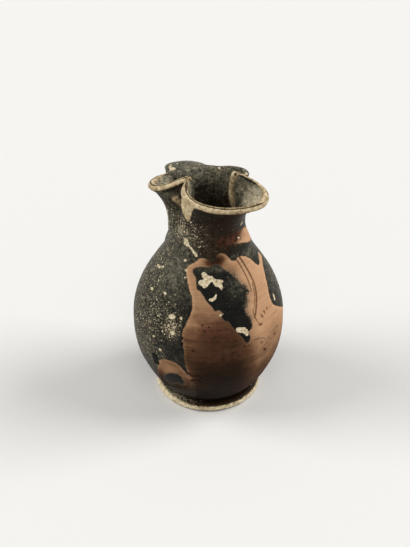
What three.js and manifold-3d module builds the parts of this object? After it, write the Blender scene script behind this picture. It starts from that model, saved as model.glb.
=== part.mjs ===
// A small trefoil-mouthed oinochoe (wine jug) in fired clay, built from the pieces the potter joined:
// foot ring, thrown body, thrown neck with a pinched mouth, strap handle, and the clay coils and
// fillets pressed into the joints. Millimetres, +Z up. The origin is on the vessel's axis, in the
// plane it stands on. Azimuth 0 is the spout, along -Y, and azimuth 180 is the handle, along +Y.
import * as THREE from "three";
import { mergeVertices } from "three/addons/utils/BufferGeometryUtils.js";
import Module from "manifold-3d";

const wasm = await Module();
wasm.setup();

// Driving dimensions
const JOINT_GAP = 0.3; // slip joint between two pieces
const AROUND = 48; // facets round the turned pieces
const WELD = 1e-3; // vertices closer than this are one

const FOOT = {
  height: 4.5,
  bore: 18.6,
  boreEdge: 1.6, // height at which the bore starts to open towards the resting band
  restInner: 20.4, // flat band that the jug stands on
  restOuter: 23.2,
};
// Rounded outer edge of the foot, [radius, height], from the resting band up to the body
const FOOT_EDGE = [
  [FOOT.restOuter, 0],
  [24.9, 0.7],
  [25.4, 2.3],
  [24.7, 3.7],
  [23.5, 4.35],
  [21.9, FOOT.height],
];
const FOOT_EDGE_STEPS = 10;

const BODY = {
  base: FOOT.height + JOINT_GAP,
  top: 84,
  wallLow: 3.6,
  wallHigh: 2.6,
  rows: 18,
};
// Inside of the floor, [radius, height], from the wall to the middle
const FLOOR_OUTLINE = [
  [20.5, 8.7],
  [16, 8.2],
  [0, 8.2],
];
const INSIDE = { from: 9.7, to: 82.8 }; // heights between which the inner wall follows the outer one
// Outer outline of the body, [radius, height], from the base to the neck joint
const BODY_OUTLINE = [
  [21.7, BODY.base],
  [23.6, 6.6],
  [27.4, 11.5],
  [31.1, 18.7],
  [33.9, 26],
  [35.3, 33.3],
  [35.6, 40.7],
  [35.1, 48],
  [33.2, 55.3],
  [30.1, 62.7],
  [25.8, 70],
  [21.4, 77],
  [18.4, BODY.top],
];

const NECK = {
  wall: 2.5,
  foot: 18.3, // outer radius at the joint
  waist: 17.75, // outer radius just above the joint, at waistHeight
  waistHeight: 86.4,
  throat: 17.4, // outer radius at throatHeight, from where the mouth opens
  throatHeight: 90,
  lean: new THREE.Vector3(-0.65, 0.3, 0), // how far the throat stands off the axis
};
const FLARE = 2.6; // how late the wall leaves the round of the throat on its way to the lip
const LIP = { roll: 0.7, from: 0.9, full: 0.97, crown: 1.1 };
const WALL_ROWS = 8;
const LIP_ROWS = 4;
const SPOUT_STEPS = 44; // facets along the rim, from the left pinch by the spout to the right pinch
const BACK_STEPS = 50; // facets along the rim, from the right pinch by the back to the left pinch
// The two pinches: [azimuth in degrees, radius, height] of the lip's middle at the tip, how far the
// fold swells inwards below it, over what reach, and how much thicker the lip's knob is
const PINCHES = [
  { tip: [-92, 9.6, 115], depth: 6.6, reach: 5, knob: 0.3 },
  { tip: [67, 11.4, 115], depth: 4.4, reach: 5, knob: 0.5 },
];
const FOLD_POWER = 0.8; // how early the folds swell
const KNOB_REACH = 2.6;
// Middle of the lip, [azimuth in degrees, radius, height], from the left pinch round by the spout
const LIP_POINTS = [
  PINCHES[0].tip,
  [-78, 12.1, 114.2],
  [-66, 15.6, 113.1],
  [-49, 19.6, 112.5],
  [-34, 22.6, 112.1],
  [-14, 26, 111.9],
  [6, 28.6, 111.8],
  [22, 29.6, 111.5],
  [35, 28, 111.6],
  [43.7, 25.2, 112.1],
  [52.5, 20, 113.1],
  [58, 15.4, 114.3],
  PINCHES[1].tip,
  [77, 14, 113],
  [87, 17.2, 111],
  [98, 19.6, 110.6],
  [111, 19.8, 110.1],
  [128, 18.7, 109.4],
  [146, 17.3, 108.5],
  [163, 16.5, 107.8],
  [180, 16.3, 107.4],
  [197, 17, 107.9],
  [211, 19.4, 109],
  [226, 23, 109.8],
  [241, 25.2, 110],
  [251, 23.6, 110.3],
  [256.5, 19.6, 111.3],
  [259.5, 15.4, 112.8],
  [262, 12.1, 114.2],
];
const RIM_SAMPLES = 720;
const RIM_STEP = 1e-3; // share of the rim, and of the wall's height, over which a slope is taken
const RIM_OVERRUN = 0.002; // share of the rim by which two stretches of the wall overlap
const EVENING = 0.11; // share of the rim over which the folds even out towards the throat

const HANDLE = { sides: 16, steps: 36, tilt: 13, tiltFrom: 0.15, tiltTo: 0.5 };
// Middle of the strap in the plane x = 0, [distance behind the axis, height]: from inside the rim,
// over it and down to the shoulder
const HANDLE_LINE = [
  [14.5, 103.2],
  [14.6, 106.2],
  [16.2, 109],
  [19.6, 109],
  [23.8, 107.5],
  [28, 105],
  [31, 99.5],
  [32.2, 91.5],
  [31.6, 83.5],
  [29.2, 75.3],
  [24.5, 66.5],
];
// Section of the strap, [share of its length, width, thickness]
const HANDLE_SECTIONS = [
  [0, 15, 1.2],
  [0.1, 19.5, 2.6],
  [0.22, 20, 5.4],
  [0.42, 13.2, 5.6],
  [0.62, 11.6, 5.2],
  [0.87, 12.4, 5.2],
  [1, 14.5, 5.6],
];

const NECK_COIL = { thickness: 1.5, height: 6, steps: 6, clearance: 0.45 };
// Section of the coil under the floor, [distance from the foot's bore, distance below the floor]
const FOOT_COIL = [
  [0, 0],
  [2.2, 0],
  [1, 0.66],
  [0.4, 1.36],
  [0, 2.2],
];
const UPPER_FILLET = { back: 19.5, height: 102, size: [7, 3.9, 5.2] };
const LOWER_FILLET = { back: 26.6, height: 69, size: [9.6, 4.6, 6.4] };
const FILLET_FACETS = [24, 16];

// Clay and gloss slip
const ROUGH_CLAY = 0.75;
const SATIN_SLIP = 0.4;
const fired = (hex, roughness) =>
  new THREE.MeshStandardMaterial({ color: hex, roughness, metalness: 0 });
const footClay = () => fired(0x8f7250, ROUGH_CLAY);
const bareClay = () => fired(0xa8734f, ROUGH_CLAY);
const paintedClay = () => fired(0x4a3227, SATIN_SLIP);
const slip = () => fired(0x23211f, SATIN_SLIP);

const { lerp, smoothstep, degToRad } = THREE.MathUtils;

// A point at an azimuth in radians, a radius and a height.
function polar(azimuth, radius, height) {
  return new THREE.Vector3(
    radius * Math.sin(azimuth),
    -radius * Math.cos(azimuth),
    height,
  );
}

// The same from a listed [azimuth in degrees, radius, height].
const listed = ([azimuth, radius, height]) => polar(degToRad(azimuth), radius, height);

// Closed solid of a geometry, facing out.
function solid(geometry) {
  const bare = geometry.clone();
  bare.deleteAttribute("normal");
  bare.deleteAttribute("uv");
  const merged = mergeVertices(bare, WELD);
  const triVerts = new Uint32Array(merged.index.array);
  const vertProperties = merged.attributes.position.array;
  const make = () =>
    new wasm.Manifold(new wasm.Mesh({ numProp: 3, vertProperties, triVerts }));
  const made = make();
  if (made.volume() > 0) return made;
  for (let i = 0; i < triVerts.length; i += 3)
    [triVerts[i + 1], triVerts[i + 2]] = [triVerts[i + 2], triVerts[i + 1]];
  return make();
}

// Geometry of a solid.
function geometryOf(manifold) {
  const mesh = manifold.getMesh();
  const geometry = new THREE.BufferGeometry();
  const positions = new Float32Array(mesh.vertProperties);
  geometry.setAttribute("position", new THREE.BufferAttribute(positions, 3));
  geometry.setIndex(new THREE.BufferAttribute(mesh.triVerts, 1));
  geometry.computeVertexNormals();
  return geometry;
}

// Solid of revolution about Z from a closed outline of [radius, height].
function turned(outline) {
  const profile = outline.map(([r, z]) => new THREE.Vector2(r, z));
  return solid(new THREE.LatheGeometry(profile, AROUND).rotateX(Math.PI / 2));
}

// Solid through a run of closed loops of equally many points, an even number. Each end is closed by
// rungs between opposite points, so a thin curved loop stays a thin wall.
function lofted(loops) {
  const count = loops[0].length;
  const index = [];
  const quad = (a, b, c, d) => index.push(a, b, c, a, c, d);
  for (let i = 0; i < loops.length - 1; i++)
    for (let j = 0; j < count; j++) {
      const next = (j + 1) % count;
      quad(i * count + j, i * count + next, (i + 1) * count + next, (i + 1) * count + j);
    }
  const last = (loops.length - 1) * count;
  for (let j = 0; j < count / 2 - 1; j++) {
    const across = count - 1 - j;
    quad(across, across - 1, j + 1, j);
    quad(last + j, last + j + 1, last + across - 1, last + across);
  }
  const geometry = new THREE.BufferGeometry().setFromPoints(loops.flat());
  geometry.setIndex(index);
  return solid(geometry);
}

// The body's outer outline moved outwards by a distance that may depend on the height.
function bodyOutline(distance = () => 0) {
  const curve = new THREE.SplineCurve(
    BODY_OUTLINE.map(([r, z]) => new THREE.Vector2(r, z)),
  );
  return curve.getSpacedPoints(BODY.rows).map((p, i) => {
    const along = curve.getTangentAt(i / BODY.rows);
    const out = distance(p.y);
    return [p.x + along.y * out, p.y - along.x * out];
  });
}

function footRing() {
  const { bore, boreEdge, height, restInner } = FOOT;
  const chamfer = (restInner - bore) / 3;
  const edge = new THREE.SplineCurve(
    FOOT_EDGE.map(([r, z]) => new THREE.Vector2(r, z)),
  ).getPoints(FOOT_EDGE_STEPS);
  return turned([
    [bore, height],
    [bore, boreEdge],
    [bore + chamfer, boreEdge / 3],
    [restInner, 0],
    ...edge.map((p) => [p.x, THREE.MathUtils.clamp(p.y, 0, height)]),
    [bore, height],
  ]);
}

function footCoil() {
  const outer = FOOT.bore - JOINT_GAP;
  const top = BODY.base - JOINT_GAP;
  const section = FOOT_COIL.map(([inwards, down]) => [outer - inwards, top - down]);
  return turned([...section, section[0]]);
}

function body() {
  const outside = bodyOutline();
  const wall = (z) => lerp(BODY.wallLow, BODY.wallHigh, smoothstep(z, BODY.base, BODY.top));
  const inside = bodyOutline((z) => -wall(z))
    .filter(([, z]) => z > INSIDE.from && z < INSIDE.to)
    .reverse();
  const [topRadius] = outside[outside.length - 1];
  return turned([
    [0, BODY.base],
    ...outside,
    [topRadius - BODY.wallHigh, BODY.top],
    ...inside,
    ...FLOOR_OUTLINE,
  ]);
}

// A full solid of the body's outer shape, grown, for trimming what is pressed on to it.
function bodyBlock(grow) {
  const outside = bodyOutline(() => grow);
  return turned([
    [0, BODY.base - grow],
    [outside[0][0], BODY.base - grow],
    ...outside,
    [outside[outside.length - 1][0], BODY.top + grow],
    [0, BODY.top + grow],
  ]);
}

// The body's shell with its inner face grown, for trimming the coil inside the neck joint.
function bodyShell(grow) {
  const outside = bodyOutline();
  const inside = bodyOutline(() => -(BODY.wallHigh + grow)).reverse();
  return turned([...outside, ...inside, outside[0]]);
}

// The rim as a closed curve that is sampled by share of its length.
const rim = new THREE.CatmullRomCurve3(LIP_POINTS.map(listed), true, "centripetal");
rim.arcLengthDivisions = RIM_SAMPLES;
const rimLengths = rim.getLengths();
const rightPinchSample = Math.round(
  (LIP_POINTS.indexOf(PINCHES[1].tip) / LIP_POINTS.length) * RIM_SAMPLES,
);
const rightPinchShare = rimLengths[rightPinchSample] / rimLengths[RIM_SAMPLES];

// For each sample of the rim, the azimuth on the throat that it grows from. It runs evenly under the
// folds, so that the wall doesn't turn back there.
const throatAzimuths = (() => {
  let last = degToRad(LIP_POINTS[0][0]);
  const own = rim.getSpacedPoints(RIM_SAMPLES).map((p) => {
    const turn = Math.atan2(p.x, -p.y) - last;
    last += turn - 2 * Math.PI * Math.round(turn / (2 * Math.PI));
    return last;
  });
  const reach = Math.round(EVENING * RIM_SAMPLES);
  return own.slice(0, RIM_SAMPLES).map((_, i) => {
    let sum = 0;
    let weights = 0;
    for (let k = -reach; k <= reach; k++) {
      const lap = Math.floor((i + k) / RIM_SAMPLES);
      const weight = 1 - Math.abs(k) / (reach + 1);
      sum += weight * (own[i + k - lap * RIM_SAMPLES] + lap * 2 * Math.PI);
      weights += weight;
    }
    return sum / weights;
  });
})();

function throatAzimuth(share) {
  const place = share * RIM_SAMPLES;
  const at = (i) => {
    const lap = Math.floor(i / RIM_SAMPLES);
    return throatAzimuths[i - lap * RIM_SAMPLES] + lap * 2 * Math.PI;
  };
  const before = Math.floor(place);
  return lerp(at(before), at(before + 1), place - before);
}

const nearness = (a, b, reach) => Math.exp(-((a.distanceTo(b) / reach) ** 2));

// Middle of the mouth's wall at a share of the rim and a share t of the way from throat to lip.
function wallPoint(share, t) {
  const lip = rim.getPointAt(share - Math.floor(share));
  const middle = NECK.throat - NECK.wall / 2;
  const throat = polar(throatAzimuth(share), middle, NECK.throatHeight).add(NECK.lean);
  const opened = t ** FLARE;
  const point = new THREE.Vector3(
    lerp(throat.x, lip.x, opened),
    lerp(throat.y, lip.y, opened),
    lerp(throat.z, lip.z, t),
  );
  const swell = Math.max(0, Math.sin(Math.PI * t)) ** FOLD_POWER;
  for (const { tip, depth, reach } of PINCHES) {
    const push = depth * swell * nearness(lip, listed(tip), reach);
    point.add(polar(degToRad(tip[0]), -push, 0));
  }
  return point;
}

// The wall's section at a share of the rim, grown on both sides: up the outside, over the lip, down
// the inside.
function wallSection(share, grow) {
  const azimuth = throatAzimuth(share);
  const half = NECK.wall / 2 + grow;
  const knobs = PINCHES.map(
    ({ tip, knob }) => knob * nearness(wallPoint(share, 1), listed(tip), KNOB_REACH),
  );
  const thicker = LIP.roll + Math.max(...knobs);
  const rows = [];
  for (let k = 0; k <= WALL_ROWS; k++) {
    const t = k / WALL_ROWS;
    const along = wallPoint(share + RIM_STEP, t).sub(wallPoint(share - RIM_STEP, t));
    const up = wallPoint(share, Math.min(1, t + RIM_STEP)).sub(
      wallPoint(share, Math.max(0, t - RIM_STEP)),
    );
    rows.push({
      point: wallPoint(share, t),
      normal: along.cross(up).normalize(),
      up: up.normalize(),
      roll: thicker * smoothstep(t, LIP.from, LIP.full),
    });
  }
  const offset = ({ point, normal }, distance) =>
    point.clone().addScaledVector(normal, distance);
  const lip = rows[WALL_ROWS];
  const lipArc = [];
  for (let k = 1; k <= LIP_ROWS; k++) {
    const angle = (Math.PI * k) / (LIP_ROWS + 1);
    const width = half + (angle < Math.PI / 2 ? lip.roll : 0);
    lipArc.push(
      offset(lip, Math.cos(angle) * width).addScaledVector(
        lip.up,
        Math.sin(angle) * (LIP.crown + grow),
      ),
    );
  }
  const bottom = BODY.top + JOINT_GAP - grow;
  return [
    polar(azimuth, NECK.foot + grow, bottom),
    polar(azimuth, NECK.waist + grow, NECK.waistHeight),
    ...rows.map((row) => offset(row, half + row.roll)),
    ...lipArc,
    ...rows.map((row) => offset(row, -half)).reverse(),
    polar(azimuth, NECK.waist - NECK.wall - grow, NECK.waistHeight),
    polar(azimuth, NECK.foot - NECK.wall - grow, bottom),
  ];
}

// A stretch of the wall between two shares of the rim, with more facets towards its ends, where the
// pinches are. It runs a little past them, so that two stretches join.
function wallStretch(from, to, steps, grow) {
  const sections = [];
  for (let i = 0; i <= steps; i++) {
    const even = i / steps;
    const bunched = (1 - Math.cos(Math.PI * even)) / 2;
    const share = lerp(from - RIM_OVERRUN, to + RIM_OVERRUN, (even + bunched) / 2);
    sections.push(wallSection(share, grow));
  }
  return lofted(sections);
}

function neckAndMouth(grow = 0) {
  const spout = wallStretch(0, rightPinchShare, SPOUT_STEPS, grow);
  const back = wallStretch(rightPinchShare, 1, BACK_STEPS, grow);
  return spout.add(back);
}

function neckCoil() {
  const { thickness, height, steps, clearance } = NECK_COIL;
  const outer = NECK.foot - BODY.wallHigh - clearance;
  const middle = BODY.top + JOINT_GAP / 2;
  const face = [];
  for (let k = 0; k <= steps; k++) {
    const angle = (Math.PI * k) / steps;
    face.push([
      outer - thickness * Math.sin(angle),
      middle - (height / 2) * Math.cos(angle),
    ]);
  }
  return turned([...face, face[0]])
    .subtract(neckAndMouth(JOINT_GAP))
    .subtract(bodyShell(JOINT_GAP));
}

// Width and thickness of the strap at a share of its length.
function strapSection(share) {
  const k = Math.max(1, HANDLE_SECTIONS.findIndex(([s]) => share <= s));
  const [s0, width0, thickness0] = HANDLE_SECTIONS[k - 1];
  const [s1, width1, thickness1] = HANDLE_SECTIONS[k];
  const part = smoothstep(share, s0, s1);
  return [lerp(width0, width1, part), lerp(thickness0, thickness1, part)];
}

// The strap handle, grown on all sides. Its crest is tilted, so that its -X edge is the higher one.
function strap(grow = 0) {
  const curve = new THREE.SplineCurve(
    HANDLE_LINE.map(([y, z]) => new THREE.Vector2(y, z)),
  );
  const loops = [];
  for (let i = 0; i <= HANDLE.steps; i++) {
    const share = i / HANDLE.steps;
    const p = curve.getPointAt(share);
    const t = curve.getTangentAt(share);
    const [width, thickness] = strapSection(share);
    const tilt =
      degToRad(HANDLE.tilt) *
      smoothstep(share, 0, HANDLE.tiltFrom) *
      (1 - smoothstep(share, HANDLE.tiltFrom, HANDLE.tiltTo));
    const loop = [];
    for (let j = 0; j < HANDLE.sides; j++) {
      const angle = (2 * Math.PI * (j + 0.5)) / HANDLE.sides;
      const wide = (width / 2 + grow) * Math.cos(angle);
      const thick = (thickness / 2 + grow) * Math.sin(angle);
      const across = wide * Math.cos(tilt) + thick * Math.sin(tilt);
      const out = thick * Math.cos(tilt) - wide * Math.sin(tilt);
      loop.push(new THREE.Vector3(across, p.x - t.y * out, p.y + t.x * out));
    }
    loops.push(loop);
  }
  return lofted(loops);
}

function handle() {
  return strap()
    .subtract(neckAndMouth(JOINT_GAP))
    .subtract(bodyBlock(JOINT_GAP));
}

// A lump of clay pressed into a joint: an ellipsoid on the handle's side of the vessel.
function lump({ back, height, size }) {
  return solid(
    new THREE.SphereGeometry(1, ...FILLET_FACETS)
      .scale(...size)
      .translate(0, back, height),
  );
}

function upperFillet() {
  return lump(UPPER_FILLET)
    .subtract(neckAndMouth(JOINT_GAP))
    .subtract(strap(JOINT_GAP));
}

function lowerFillet() {
  return lump(LOWER_FILLET)
    .subtract(bodyBlock(JOINT_GAP))
    .subtract(strap(JOINT_GAP));
}

// Trimming can leave crumbs, and the piece is the largest body.
function largest(manifold) {
  return manifold.decompose().reduce((a, b) => (b.volume() > a.volume() ? b : a));
}

const jug = new THREE.Group();
const pieces = [
  ["foot_ring", footRing, footClay],
  ["foot_luting_coil", footCoil, bareClay],
  ["body", body, paintedClay],
  ["neck_luting_coil", neckCoil, bareClay],
  ["neck_and_mouth", neckAndMouth, slip],
  ["handle", handle, slip],
  ["handle_upper_fillet", upperFillet, slip],
  ["handle_lower_fillet", lowerFillet, slip],
];
for (const [name, make, material] of pieces) {
  const mesh = new THREE.Mesh(geometryOf(largest(make())), material());
  mesh.name = name;
  jug.add(mesh);
}

export default jug;
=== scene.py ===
import math
from collections import namedtuple

import bpy
import numpy as np
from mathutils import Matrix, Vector, noise
from mathutils.bvhtree import BVHTree

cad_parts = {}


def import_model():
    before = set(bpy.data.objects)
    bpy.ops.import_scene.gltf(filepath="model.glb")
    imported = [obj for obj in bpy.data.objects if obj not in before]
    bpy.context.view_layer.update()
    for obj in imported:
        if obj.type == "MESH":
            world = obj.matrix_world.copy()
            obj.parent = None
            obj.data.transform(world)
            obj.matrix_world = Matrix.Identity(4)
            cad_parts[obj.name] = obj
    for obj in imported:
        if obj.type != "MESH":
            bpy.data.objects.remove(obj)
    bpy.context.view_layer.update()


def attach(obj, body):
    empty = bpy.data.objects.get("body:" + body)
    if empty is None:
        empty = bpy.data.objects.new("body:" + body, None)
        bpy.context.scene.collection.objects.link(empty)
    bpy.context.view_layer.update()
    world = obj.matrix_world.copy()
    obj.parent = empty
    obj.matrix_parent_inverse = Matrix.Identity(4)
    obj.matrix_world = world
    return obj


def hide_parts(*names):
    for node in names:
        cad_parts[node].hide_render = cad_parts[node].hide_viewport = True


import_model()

# Sizes are in millimetres until a mesh is made. Azimuth 0 is the spout, along -Y, and 180 the handle.
MM = 0.001
GRAIN = {"apart": 17.3, "roughness": 0.6, "lacunarity": 2.1}

# Foot ring, [radius, height] round its section, and the coil under the floor
FOOT_HEIGHT = 4.5
FOOT_SECTION = [
    (18.6, 4.5), (18.6, 1.6), (19.2, 0.55), (20.4, 0), (23.2, 0), (24.9, 0.7), (25.4, 2.3), (24.7, 3.7),
    (23.5, 4.35), (21.9, 4.5),
]
FOOT_COLUMNS = 288
FOOT_WEAR = {"depth": 0.09, "size": 5, "reach": 2}  # unevenness of the worn edge
FOOT_SIDES = [(-24, 40), (-92, 30), (-66, 32), (55, 22)]  # [azimuth, width] of differently worn sides
FOOT_BAND = {"half": 1.75, "lower": 0.15, "narrower": 0.3, "wider": 1.2}
RESTING = {"height": 0.25, "steepness": 3}
FOOT_SLOPE = (0.8, 2)
FOOT_SPECKS = {"least": 0.12, "left": 0.85, "right": 0.6}
FOOT_PALER = {"warm": 0.7, "scuff": 0.6}
FOOT_COIL = [(18.3, 4.5), (16.1, 4.5), (17.3, 3.84), (17.9, 3.14), (18.3, 2.3)]
COIL_COLUMNS = 180
FINGER = {"size": 5, "share": 0.4}  # finger marks along a pressed coil

# Body, [radius, height]
BODY_BASE = 4.8
BODY_TOP = 84
BODY_WALL = (3.6, 2.6)
FLOOR_HEIGHT = 8.2
OUTLINE = [
    (21.7, BODY_BASE), (23.6, 6.6), (27.4, 11.5), (31.1, 18.7), (33.9, 26), (35.3, 33.3), (35.6, 40.7),
    (35.1, 48), (33.2, 55.3), (30.1, 62.7), (25.8, 70), (21.4, 77), (18.4, BODY_TOP), (17.75, 86.4),
    (17.4, 90), (17.4, 93.6),
]
BODY_COLUMNS = 400
FRONT_DENSITY = 0.3  # how much closer together the body's columns are on the painted front
BODY_ROWS = 190
UNDERSIDE_RADII = (4, 9, 14, 18, 20.5)
BODY_TUCK = [(84.6, 0.06), (85, 0.25)]  # [height, inset] of the edge that is hidden in the neck
INNER_ROWS = 34
INNER_LOWEST = 10.2
INNER_WIDEST = 32
INNER_FLOOR = [(21.5, 8.8), (19, 8.35), (14, FLOOR_HEIGHT), (7, FLOOR_HEIGHT)]

# Throwing ridges and fine streaks between heights, and the wall's unevenness, [size, depth]
RIDGE = {"spacing": 2.3, "wander": 1.4, "wander_size": 30, "depth": 0.02}
STREAK = {"stretch": (0.04, 0.04, 1), "size": 0.7, "depth": 0.03}
RIDGES_RISE, RIDGES_FALL = (14, 26), (50, 64)
BROAD_UNEVEN, FINE_UNEVEN = (26, 0.09), (3, 0.018)
SMOOTH_ENDS = (8, 80)

# Neck and mouth
NECK_WALL = 2.5
THROAT = 17.4
THROAT_HEIGHT = 90
LEAN = np.array([-0.65, 0.3, 0])
JOINT = BODY_TOP + 0.15
NECK_OVERLAP = 0.9
NECK_TUCK = (0.25, 0.05)  # insets of the lowest rings, which are hidden in the body
THROAT_ROWS, THROAT_STEP = 14, 0.45
MOUTH_ROWS = 44
MOUTH_CROWDING = 1.35  # draws the mouth's rows together towards the lip
FLARE = 2.6
LIP_ROLL = 0.7
LIP_FROM, LIP_FULL = 0.9, 0.97
LIP_CROWN = 0.95
LIP_LUMPS = {"depth": 0.2, "size": 5, "worn": 0.7}  # wear in and out along the lip
LIP_STEP = 6  # degrees between the rings over the top of the lip
LIP_GROOVE = {"at": 101, "width": 11, "depth": 0.3}  # the fine groove along the lip's top, in degrees
PINCHES = [
    {"tip": (-92, 9.6, 115), "depth": 6.6, "reach": 5, "knob": 0.3},
    {"tip": (67, 11.4, 115), "depth": 4.4, "reach": 5, "knob": 0.5},
]
FOLD_POWER = 0.8
FOLD_START = 0.1
KNOB_REACH = 2.6
LIP_POINTS = [
    (-92, 9.6, 114.98), (-78, 12.1, 114.2), (-66, 15.6, 113.1), (-49, 19.6, 112.5), (-34, 22.6, 112.1),
    (-14, 26, 111.9), (6, 28.6, 111.8), (22, 29.6, 111.5), (35, 28, 111.6), (43.7, 25.2, 112.1),
    (52.5, 20, 113.1), (58, 15.4, 114.3), (67, 11.4, 114.98), (77, 14, 113), (87, 17.2, 111),
    (98, 19.6, 110.6), (111, 19.8, 110.1), (128, 18.7, 109.4), (146, 17.3, 108.5), (163, 16.5, 107.8),
    (180, 16.3, 107.4), (197, 17, 107.9), (211, 19.4, 109), (226, 23, 109.8), (241, 25.2, 110),
    (251, 23.6, 110.3), (256.5, 19.6, 111.3), (259.5, 15.4, 112.8), (262, 12.1, 114.2),
]
EVENING = 0.11

# Wear of the lip, [size in millimetres, azimuth of the rim, width in degrees]
LIP_RUNS = [
    (10, -51, 8), (7, -62, 9), (3.5, -74, 8), (0.9, 34, 12), (-1.3, 58, 9), (-0.5, 8, 22),
    (0.5, -130, 20),
]
LIP_INSIDE = [(2.2, -122, 14), (2.1, 33, 13), (1.8, -70, 11), (-0.9, 57, 9)]
LIP_GROOVES = [(0.55, -74, 8), (-0.5, 38, 14), (-0.22, 58, 10), (0.3, 18, 4), (0.3, -125, 10)]
LIP_WEAR = {"outside": 2.5, "inside": 1.3, "back": 2.4}
GROOVE = {"half": 0.26, "start": 0.12, "back": 0.8}
LIP_BACK = ((74, 95), (203, 226))  # azimuths where the back of the rim begins and ends
KNOB_WEAR = (2.0, 2.7)
# The ridge that the right pinch leaves inside the mouth, by the run past the lip
FOLD_EDGE = {"rim": 130, "aside": 0.5, "drift": 0.1, "drift_from": 9, "half": 1.5, "steepness": 0.6}
FOLD_WAIST = {"depth": 0.4, "at": 7, "reach": 3}
FOLD_END = {"depth": 1.2, "from": 15, "to": 22}
# Worn slip inside the mouth, [strength, azimuth of the rim, width in degrees, depth, half height]
MOUTH_SCUFFS = [
    (1.3, 30, 30, 8, 12), (0.7, -76, 12, 4, 8), (1, 205, 24, 2, 9), (0.6, 140, 34, 3, 10),
    (0.45, -122, 20, 5, 6),
]
MOUTH_SPECKS = [
    (0.8, 12, 14, 3, 2.4), (0.5, 150, 40, 2, 3), (0.6, -122, 18, 4, 3), (0.9, 30, 24, 9, 9),
    (0.3, 170, 60, 10, 10),
]
# Flakes beside the left pinch, cream spots of the back rim and pits in the knobs, [point, size]
LIP_FLAKES = [
    ((-15.4, 1.6, 106.2), 1.5), ((-14.2, 1, 104.6), 1.5), ((-13.2, 0.4, 103), 1.2),
    ((-12.9, -0.8, 104.8), 1.7),
]
RIM_SPOTS = [
    ((11.4, 12.3, 109.6), 0.6), ((6.6, 14, 109.4), 0.4), ((18.4, -0.9, 111.6), 0.9),
    ((-11.3, 17.6, 110.6), 0.8), ((-11.3, 14.8, 110.2), 0.6), ((-10.6, 13.2, 110.6), 0.5),
]
KNOB_PITS = [((-9.6, 0.3, 116), 0.55), ((10, -6, 115.6), 0.7)]
BACK_RUBBED = {"scuff": 0.65, "reach": 3.5}
MOUTH_SCUFF = 0.2
OUT_OF_MOUTH = 54  # a depth that keeps the mouth's clouds off the outside
MOUTH_WARM = {"least": 0.4, "from": 10, "to": 22}
RIM_COLUMNS = 400
RIM_SAMPLES = 4000
RIM_PIECES = 60
PINCH_CROWDING = {"gain": 2.2, "reach": 0.035}  # draws the rim's columns together at the pinches
NUDGE = 5e-4
NECK_COIL = {"outer": 15.25, "thickness": 1.5, "height": 6, "step": 30}

# Handle, [distance behind the axis, height] and [share, width, thickness]
HANDLE_LINE = [
    (14.5, 103.2), (14.6, 106.2), (16.2, 109), (19.6, 109), (23.8, 107.5), (28, 105), (31, 99.5),
    (32.2, 91.5), (31.6, 83.5), (29.2, 75.3), (24.5, 66.5),
]
HANDLE_SECTIONS = [
    (0, 15, 1.2), (0.1, 19.5, 2.6), (0.22, 20, 5.4), (0.42, 13.2, 5.6), (0.62, 11.6, 5.2),
    (0.87, 12.4, 5.2), (1, 14.5, 5.6),
]
HANDLE_TILT = {"angle": 13, "from": 0.15, "to": 0.5}
STRAP_ROWS, STRAP_COLUMNS = 110, 48
STRAP_NUDGE = 0.2
STRAP_LUMPS = {"share": 0.05, "size": 6, "worn": 0.4}  # unevenness of the pulled strap
LUMP_STEP, LUMP_COLUMNS = 4, 64
UPPER_FILLET = {"back": 18.6, "height": 102.6, "size": (6.8, 3.4, 4.6)}
LOWER_FILLET = {"back": 26, "height": 69.2, "size": (9, 3.6, 6.2)}
JOINT_REACH = 5  # how wide the clay is smeared over a joint
JOINT_ROUNDS = 4
LEAST_SLOPE = 0.25
HANDLE_SPOTS = [
    ((-9.8, 20, 111.5), 1.2), ((-9.4, 16.8, 112), 1.2), ((-10.2, 18.4, 110.6), 1.1),
    ((-10.1, 14.8, 110.8), 0.9), ((-5.6, 20.8, 112), 0.6), ((-8.4, 21.8, 111.6), 0.6),
    ((-7.8, 17.6, 112.6), 0.5), ((-10.2, 21.4, 110.4), 0.6), ((-6.6, 22.4, 111.6), 0.4),
    ((-8.6, 15.2, 112.2), 0.4),
]
STRAP_SCUFF = {"share": (0.3, 0.63), "heights": (74, 106)}
HANDLE_SPECKS = 0.2
LUMP_SCUFF = 0.3


def polar(azimuth, radius, height):
    """Points at azimuths in radians."""
    x, y, z = np.broadcast_arrays(radius * np.sin(azimuth), -radius * np.cos(azimuth), height)
    return np.stack([x, y, z], -1)


def columns(count):
    """Evenly spaced azimuths, in radians."""
    return np.radians(np.arange(count) * 360 / count)


def revolved(section, azimuth):
    """Rings at azimuths through the points of a section, each [radius, height]."""
    return polar(azimuth[None, :], section[:, None, 0], section[:, None, 1])


def azimuth_of(points):
    """Azimuths of points, in degrees."""
    return np.degrees(np.arctan2(points[..., 0], -points[..., 1]))


def distance_from(points, at):
    return np.linalg.norm(points - np.array(at), axis=-1)


def lerp(a, b, t):
    return a + (b - a) * t


def smooth(value, low, high):
    """A soft step, 0 at the low value and 1 at the high one."""
    t = np.clip((np.asarray(value, float) - low) / (high - low), 0, 1)
    return t * t * (3 - 2 * t)


def through(points, pieces):
    """A smooth open curve through points."""
    p = np.array(points, float)
    p = np.vstack([p[:1], p, p[-1:]])
    t = (np.arange(pieces) / pieces)[:, None]
    out = []
    for a, b, c, d in zip(p[:-3], p[1:-2], p[2:-1], p[3:]):
        out.append(
            b + t * (c - a) / 2 + t**2 * (2 * a - 5 * b + 4 * c - d) / 2 + t**3 * (3 * b - a - 3 * c + d) / 2
        )
    return np.vstack([*out, p[-1:]])


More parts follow.
